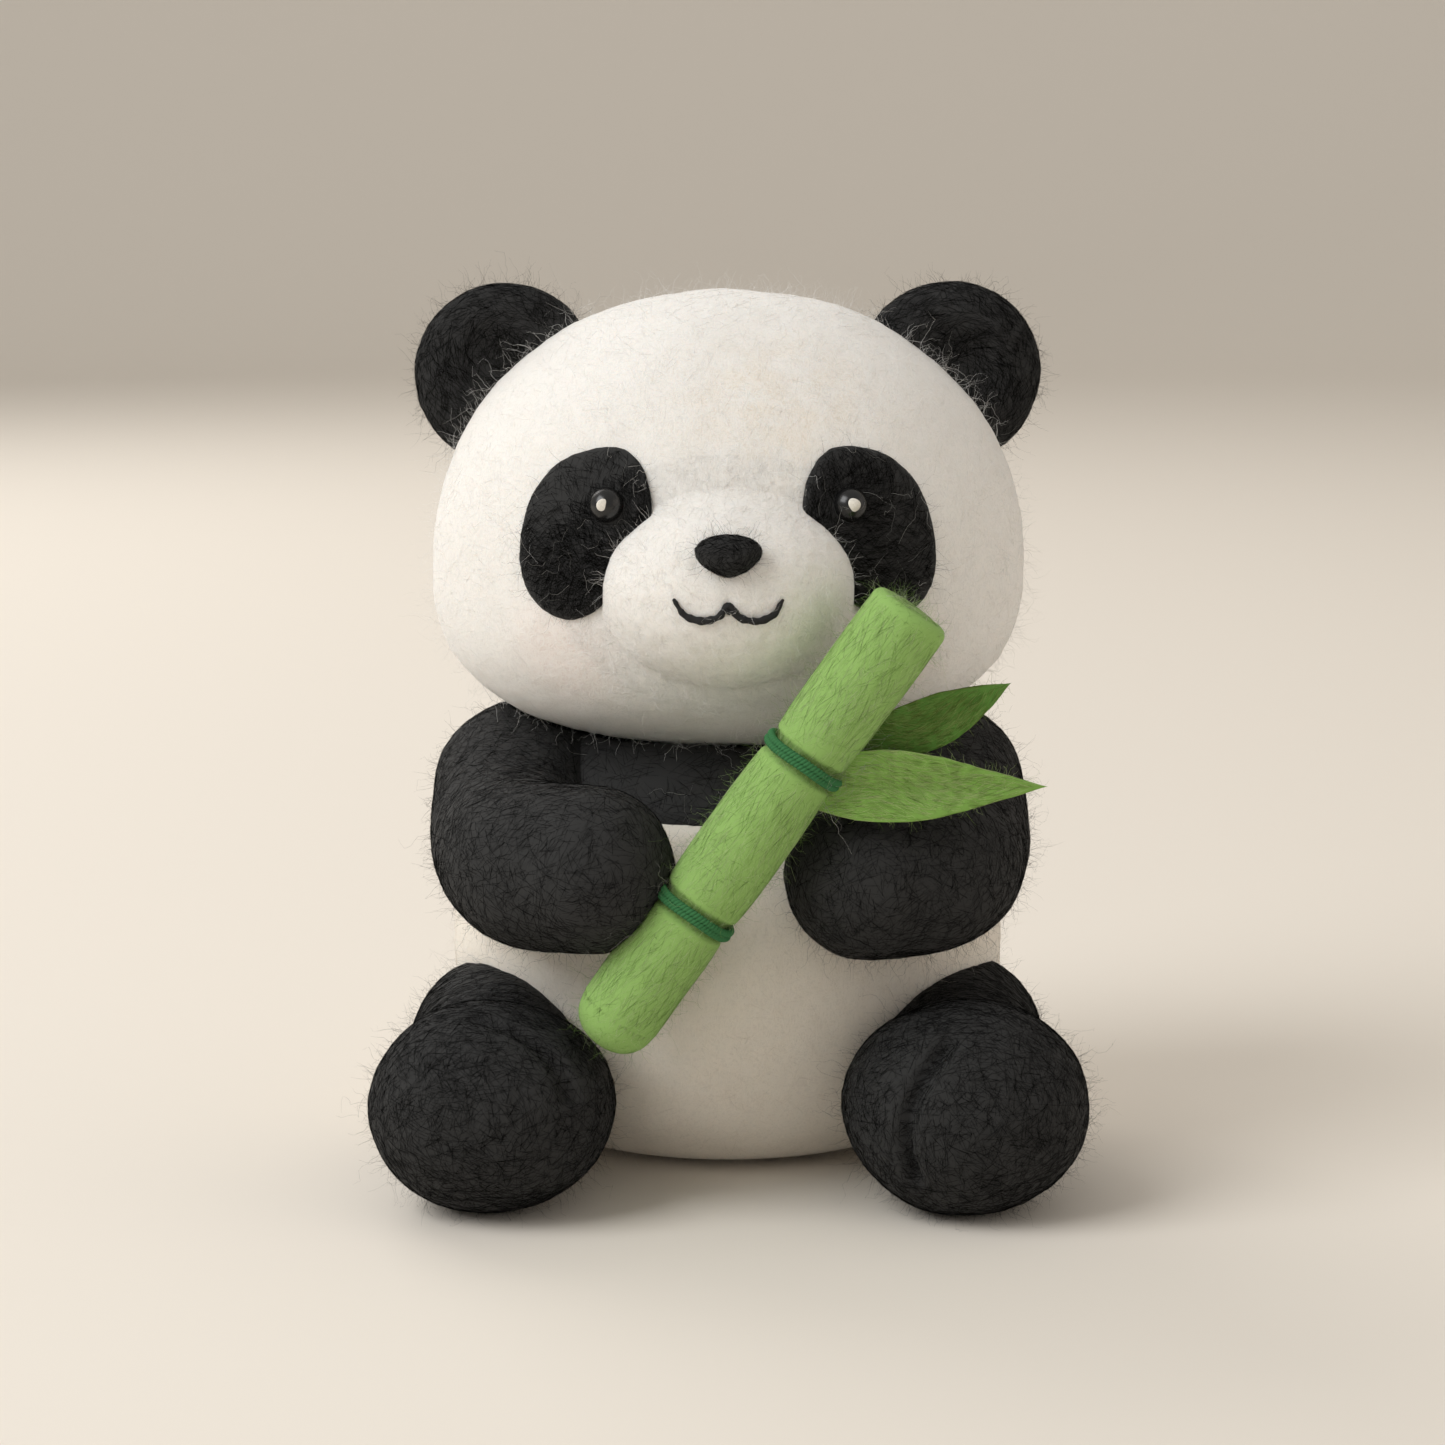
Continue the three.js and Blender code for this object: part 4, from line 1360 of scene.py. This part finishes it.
def leaf(name, node, base, tip, bellies, material, fold, peak):
    """Felt blade: pointed, thicker in the middle, with a lengthwise fold and a slight bow."""
    base, tip = np.array(base) * MM, np.array(tip) * MM
    way = tip - base
    length = np.linalg.norm(way)
    way /= length
    base = base - way * 4.2 * MM
    length += 4.2 * MM
    face = np.array([0.0, -1.0, 0.0])
    rise = np.cross(way, face)
    rise *= np.sign(rise[2])
    thick = 1.75 * MM
    sides = 56
    skin = []
    stations = 1 - (1 - np.linspace(0, 1, 92)) ** 1.15
    for t in stations:
        t = min(max(t, 0.0), 1.0)
        bulge = np.sin(math.pi * t**peak) * (1 - 0.25 * t) / 0.86
        spare = 1.5 * MM * (1 - t) ** 1.4
        tip_round = math.sqrt(max(0.0, 1 - t**24))
        up = (bellies[0] * MM * bulge + spare) * tip_round
        down = (bellies[1] * MM * bulge + spare) * tip_round
        angles = np.linspace(0, 2 * math.pi, sides, endpoint=False)
        across, through = np.cos(angles), np.sin(angles)
        high = np.where(across > 0, up, down) * np.sign(across) * np.abs(across) ** 0.9
        narrow = min(1.0, (up + down) / (3.2 * MM)) ** 0.6
        body = thick / 2 * narrow * np.sign(through) * np.abs(through) ** 0.55 * tip_round
        valley = fold * MM * (np.abs(high) / (4 * MM)) ** 1.1 * ease(t, 0.02, 0.3)
        bow = 1.1 * MM * np.sin(math.pi * t) * 0.6 - 0.9 * MM * t**2
        centre = base + way * length * t
        ring = centre + high[:, None] * rise + (body + valley + bow - 0.3 * MM)[:, None] * face
        skin.append(ring)
    first, last = skin[0].mean(0)[None], (base + way * length + face * (-1.2 * MM))[None]
    piece = ring_body(name, [first, *skin[1:-1], last])
    
    def keep(points):
        run = (points - base) @ way / length
        return (0.4 + 0.6 * ease(run, 0, 0.5)) * (1 - ease(run, 0.75, 0.97))

    felt_surface(piece, 60 + fold, 0.25 * MM, keep=keep)
    dress(piece, material, material, "bamboo", node)
    return piece


# ---------------------------------------------------------------- fibres on each piece


HEAD_PARTS = ["head_felt", "muzzle_felt", "nose_felt", "eye_patch_felt_left", "eye_patch_felt_right"]
SIDE_PARTS = [f"{part}_felt_{side}" for part in ("ear", "arm", "foot", "thigh") for side in SIDES]
STALK_PARTS = ["stalk_felt", "stalk_end_felt", "leaf_felt_upper", "leaf_felt_lower"]
BEADS = [f"eye_bead_gloss_{side}" for side in SIDES]
FELTED = [*HEAD_PARTS, *SIDE_PARTS, "belly_felt", "shoulder_felt", "tail_felt", *STALK_PARTS]

RADIAL, ROUND = math.pi / 2, 0.0
FRONT = (0.0, 1.0, 0.0)
UPRIGHT = (0.0, 0.0, 1.0)
STALK_GRAIN = tuple(STALK_WAY)

# For each kind of piece: tones, lying and stray fibres, the axis that they are combed about,
# the turn from round that axis, how mixed they are, and the length of a lying fibre.
FIBRE_PLAN = {
    "head_felt": ("white", 6600, 2520, FRONT, RADIAL, 0.3, 3.6),
    "muzzle_felt": ("white", 2200, 920, FRONT, RADIAL, 0.4, 2.8),
    "nose_felt": ("black", 800, 100, FRONT, ROUND, 0.3, 1.6),
    "eye_patch_felt": ("black", 2700, 220, FRONT, RADIAL, 0.3, 3.0),
    "ear_felt": ("black", 3400, 590, FRONT, ROUND, 0.34, 3.6),
    "arm_felt": ("black", 6600, 760, FRONT, ROUND, 0.46, 4.0),
    "foot_felt": ("black", 6400, 670, FRONT, ROUND, 0.46, 4.0),
    "thigh_felt": ("black", 3000, 380, FRONT, ROUND, 0.34, 4.0),
    # The belly's fibre tones hold painted shade from the head as well as cream.
    "belly_felt": ("cream_and_shade", 4400, 1340, UPRIGHT, RADIAL, 0.3, 3.4),
    "shoulder_felt": ("black", 2900, 250, UPRIGHT, ROUND, 0.4, 3.6),
    "tail_felt": ("white", 700, 340, FRONT, RADIAL, 0.4, 2.6),
    "stalk_felt": ("green", 7600, 1430, STALK_GRAIN, RADIAL, 0.24, 4.2),
    "stalk_end_felt": ("green", 400, 70, STALK_GRAIN, ROUND, 0.9, 1.8),
    "leaf_felt_upper": ("darkleaf", 2000, 290, (0.93, 0.0, 0.37), RADIAL, 0.12, 3.4),
    "leaf_felt_lower": ("leaf", 2700, 350, (1.0, 0.0, 0.0), RADIAL, 0.12, 3.6),
}


def plan_for(name):
    return next(FIBRE_PLAN[key] for key in FIBRE_PLAN if name == key or name.rsplit("_", 1)[0] == key)


class PANDA_OT_fibres(bpy.types.Operator):
    """Grows the lying and the stray fibres on every felted piece"""

    bl_idname = "panda.fibres"
    bl_label = "Loose fibres"

    def execute(self, context):
        wool = context.scene.panda_wool
        for number, name in enumerate(FELTED):
            piece = bpy.data.objects[name]
            mark_cover(piece, [other for other in FELTED + BEADS if other != name])
            tones, lying, stray, grain, turn, mixed_up, length = plan_for(name)
            combing = {"Grain": grain, "Turn": turn, "Spread": mixed_up}
            lie = {
                "Length": length * MM, "Curl": 0.3 * MM, "Curl Size": 3 * MM, "Lift": 0.1 * MM, "Points": 3,
                "Flow": 2.6,
            }
            if tones in ("white", "cream_and_shade"):
                lie.update({"Lift": 0.02 * MM, "Radius": wool.thickness * 0.75, "Curl": 0.15 * MM})
            elif tones != "black":
                lie.update({
                    "Lift": 0.02 * MM, "Radius": wool.thickness * 0.68, "Curl": 0.12 * MM, "Flow": 1.6,
                })
            fibres = grow_fibres(piece, f"{name}_lying", tones, lying, 100 + number, **lie, **combing)
            follow(fibres, name)
            stand = {
                "Length": wool.stray_length * (0.6 if "leaf" in tones else 0.8 if tones == "green" else 1),
                "Lowest Angle": 0.35, "Highest Angle": 1.3, "Spread": 1.0, "Hug": 0.0, "Curl": 0.7 * MM,
                "Curl Size": 1.3 * MM, "Radius": wool.thickness * 0.66, "Points": 5,
            }
            fibres = grow_fibres(piece, f"{name}_stray", tones, stray, 300 + number, **stand)
            follow(fibres, name)
        self.seams(wool)
        return {"FINISHED"}

    def seams(self, wool):
        """Long curly fibres that cross from one colour to the next, and a few on the outline."""
        curly = {
            "Lowest Angle": 0.15, "Highest Angle": 1.1, "Spread": 1.0, "Hug": 0.0,
            "Curl": 1.6 * MM, "Curl Size": 2.2 * MM, "Radius": wool.thickness * 0.62, "Points": 11,
        }
        meetings = (
            ("head_felt", "white", 460), ("belly_felt", "silver", 240), ("shoulder_felt", "silver", 120),
            ("ear_felt_left", "silver", 60), ("ear_felt_right", "silver", 60), ("stalk_felt", "silver", 130),
            ("leaf_felt_lower", "silver", 50),
            ("eye_patch_felt_left", "silver", 26), ("eye_patch_felt_right", "silver", 34),
        )
        for number, (name, tones, count) in enumerate(meetings):
            fibres = grow_fibres(
                bpy.data.objects[name], f"{name}_curls", tones, count, 500 + number,
                Cover="seam", Length=5.0 * MM, **curly,
            )
            follow(fibres, name)
        outline = (
            ("head_felt", "white", 900), ("ear_felt_left", "black", 90), ("ear_felt_right", "black", 90),
            ("arm_felt_left", "black", 160), ("arm_felt_right", "black", 160),
            ("foot_felt_left", "black", 150), ("foot_felt_right", "black", 150), ("stalk_felt", "green", 90),
        )
        for number, (name, tones, count) in enumerate(outline):
            fibres = grow_fibres(
                bpy.data.objects[name], f"{name}_wisps", tones, count, 600 + number, Length=4.6 * MM, **curly
            )
            follow(fibres, name)


def follow(fibres, name):
    """Gives fibres the finish slot of the piece that they grow on and passes them to attach."""
    slot = bpy.data.objects[name]["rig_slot"]
    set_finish(fibres, slot)
    attach(fibres, name)


def attach(piece, name):
    """Rides a piece on its body by the name of the felt that it belongs to. For ears, arms and thighs it only
    works out the bend points and bakes the place into the mesh.
    """
    part, _, side = name.rpartition("_")
    if part == "ear_felt":
        start, end = ear_bend(side)
        tuple(start)
        tuple(end)
        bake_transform(piece)
    elif part == "arm_felt":
        start, end = arm_bend(side)
        tuple(start)
        tuple(end)
        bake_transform(piece)
    elif part == "thigh_felt":
        start, end = leg_bend(side)
        tuple(start)
        tuple(end)
        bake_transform(piece)
    elif part == "foot_felt":
        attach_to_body(piece, f"leg_{side}")
    elif name in HEAD_PARTS:
        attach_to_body(piece, "head")
    elif name in STALK_PARTS:
        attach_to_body(piece, "bamboo")
    else:
        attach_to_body(piece, "torso")


class PANDA_OT_cores(bpy.types.Operator):
    """Gives the hidden wool cores their finish"""

    bl_idname = "panda.cores"
    bl_label = "Cores"

    def execute(self, context):
        for node in ("torso_core", "head_core", "neck_stem", "stalk_core"):
            core = bpy.data.objects[node]
            for slot in core.material_slots:
                slot.material = bpy.data.materials["core_wool"]
        return {"FINISHED"}


class PANDA_OT_stage(bpy.types.Operator):
    """Makes the plain floor, the soft lights and the camera"""

    bl_idname = "panda.stage"
    bl_label = "Stage"

    def execute(self, context):
        self.floor()
        self.lights()
        self.camera(context.scene.panda_stage)
        return {"FINISHED"}

    def floor(self):
        profile = [(-1.6, 0.0), (1.5, 0.0)]
        for angle in np.linspace(0, math.pi / 2, 24)[1:]:
            profile.append((1.5 + 0.9 * math.sin(angle), 0.9 * (1 - math.cos(angle))))
        profile.append((2.4, 3.4))
        points = [(x, y, z) for y, z in profile for x in (-4, 4)]
        faces = [(2 * i, 2 * i + 1, 2 * i + 3, 2 * i + 2) for i in range(len(profile) - 1)]
        mesh = bpy.data.meshes.new("floor")
        mesh.from_pydata(points, [], faces)
        mesh.shade_smooth()
        floor = bpy.data.objects.new("floor", mesh)
        bpy.context.scene.collection.objects.link(floor)
        material = bpy.data.materials.new("plain_floor")
        material.use_nodes = True
        shader = material.node_tree.nodes["Principled BSDF"]
        shader.inputs["Base Color"].default_value = (0.82, 0.765, 0.69, 1.0)
        shader.inputs["Roughness"].default_value = 0.9
        shader.inputs["Specular IOR Level"].default_value = 0.1
        floor.data.materials.append(material)

    def lights(self):
        scene = bpy.context.scene
        scene.view_settings.view_transform = "Standard"
        world = scene.world or bpy.data.worlds.new("room")
        scene.world = world
        world.use_nodes = True
        back = world.node_tree.nodes["Background"]
        back.inputs["Color"].default_value = (1.0, 0.965, 0.915, 1.0)
        back.inputs["Strength"].default_value = 0.5
        self.area("window", (-0.85, -0.5, 0.9), 0.8, 10.6, (0.985, 0.995, 1.0))
        self.area("room_side", (1.1, -0.35, 0.35), 0.9, 1.2, (1.0, 0.86, 0.72))
        self.area("room_back", (-0.5, 0.8, 0.7), 0.7, 4.0, (1.0, 0.98, 0.95))

    def area(self, name, place, size, power, colour):
        light = bpy.data.lights.new(name, "AREA")
        light.shape, light.size = "SQUARE", size
        light.energy, light.color = power, colour
        lamp = bpy.data.objects.new(name, light)
        lamp.location = place
        aim = Vector((0, 0, 0.05)) - Vector(place)
        lamp.rotation_euler = aim.to_track_quat("-Z", "Y").to_euler()
        bpy.context.scene.collection.objects.link(lamp)

    def camera(self, stage):
        lens = bpy.data.cameras.new("camera")
        lens.sensor_width = 36.0
        lens.lens = stage.lens
        lens.clip_start = 0.01
        camera = bpy.data.objects.new("camera", lens)
        aim = Vector((-0.7 * MM, 0, stage.aim_height))
        away = Vector((0, -math.cos(stage.elevation), math.sin(stage.elevation)))
        camera.location = aim + away * stage.distance
        camera.rotation_euler = (-away).to_track_quat("-Z", "Y").to_euler()
        bpy.context.scene.collection.objects.link(camera)
        bpy.context.scene.camera = camera


# ---------------------------------------------------------------- add-on


STEPS = (
    PANDA_OT_colours, PANDA_OT_stage, PANDA_OT_stalk, PANDA_OT_body, PANDA_OT_head, PANDA_OT_eyes,
    PANDA_OT_snout, PANDA_OT_ears, PANDA_OT_arms, PANDA_OT_legs, PANDA_OT_fibres, PANDA_OT_cores,
)


class PANDA_PT_panel(bpy.types.Panel):
    """Lists the steps that build the panda"""

    bl_idname = "PANDA_PT_panel"
    bl_label = "Felted panda"
    bl_space_type = "VIEW_3D"
    bl_region_type = "UI"
    bl_category = "Felted panda"

    def draw(self, context):
        for settings in ("panda_wool", "panda_stalk", "panda_stage"):
            owner = getattr(context.scene, settings)
            for key in owner.bl_rna.properties.keys():
                if key not in ("rna_type", "name"):
                    self.layout.prop(owner, key)
        for step in STEPS:
            self.layout.operator(step.bl_idname)


SETTINGS = {"panda_wool": WoolSettings, "panda_stalk": StalkSettings, "panda_stage": StageSettings}


def register():
    for kind in (*SETTINGS.values(), *STEPS, PANDA_PT_panel):
        bpy.utils.register_class(kind)
    for name, kind in SETTINGS.items():
        setattr(bpy.types.Scene, name, bpy.props.PointerProperty(type=kind))


def unregister():
    for name in SETTINGS:
        delattr(bpy.types.Scene, name)
    for kind in reversed((*SETTINGS.values(), *STEPS, PANDA_PT_panel)):
        bpy.utils.unregister_class(kind)


def bend_limbs():
    """Passes the ears, arms and thighs to attach, which works out their bend points and bakes their place
    into the mesh.
    """
    for part in ("ear", "arm", "thigh"):
        for side in SIDES:
            name = f"{part}_felt_{side}"
            attach(bpy.data.objects[name], name)


def main():
    register()
    for step in STEPS:
        group, _, name = step.bl_idname.partition(".")
        getattr(getattr(bpy.ops, group), name)()
    bend_limbs()


if __name__ == "__main__":
    main()
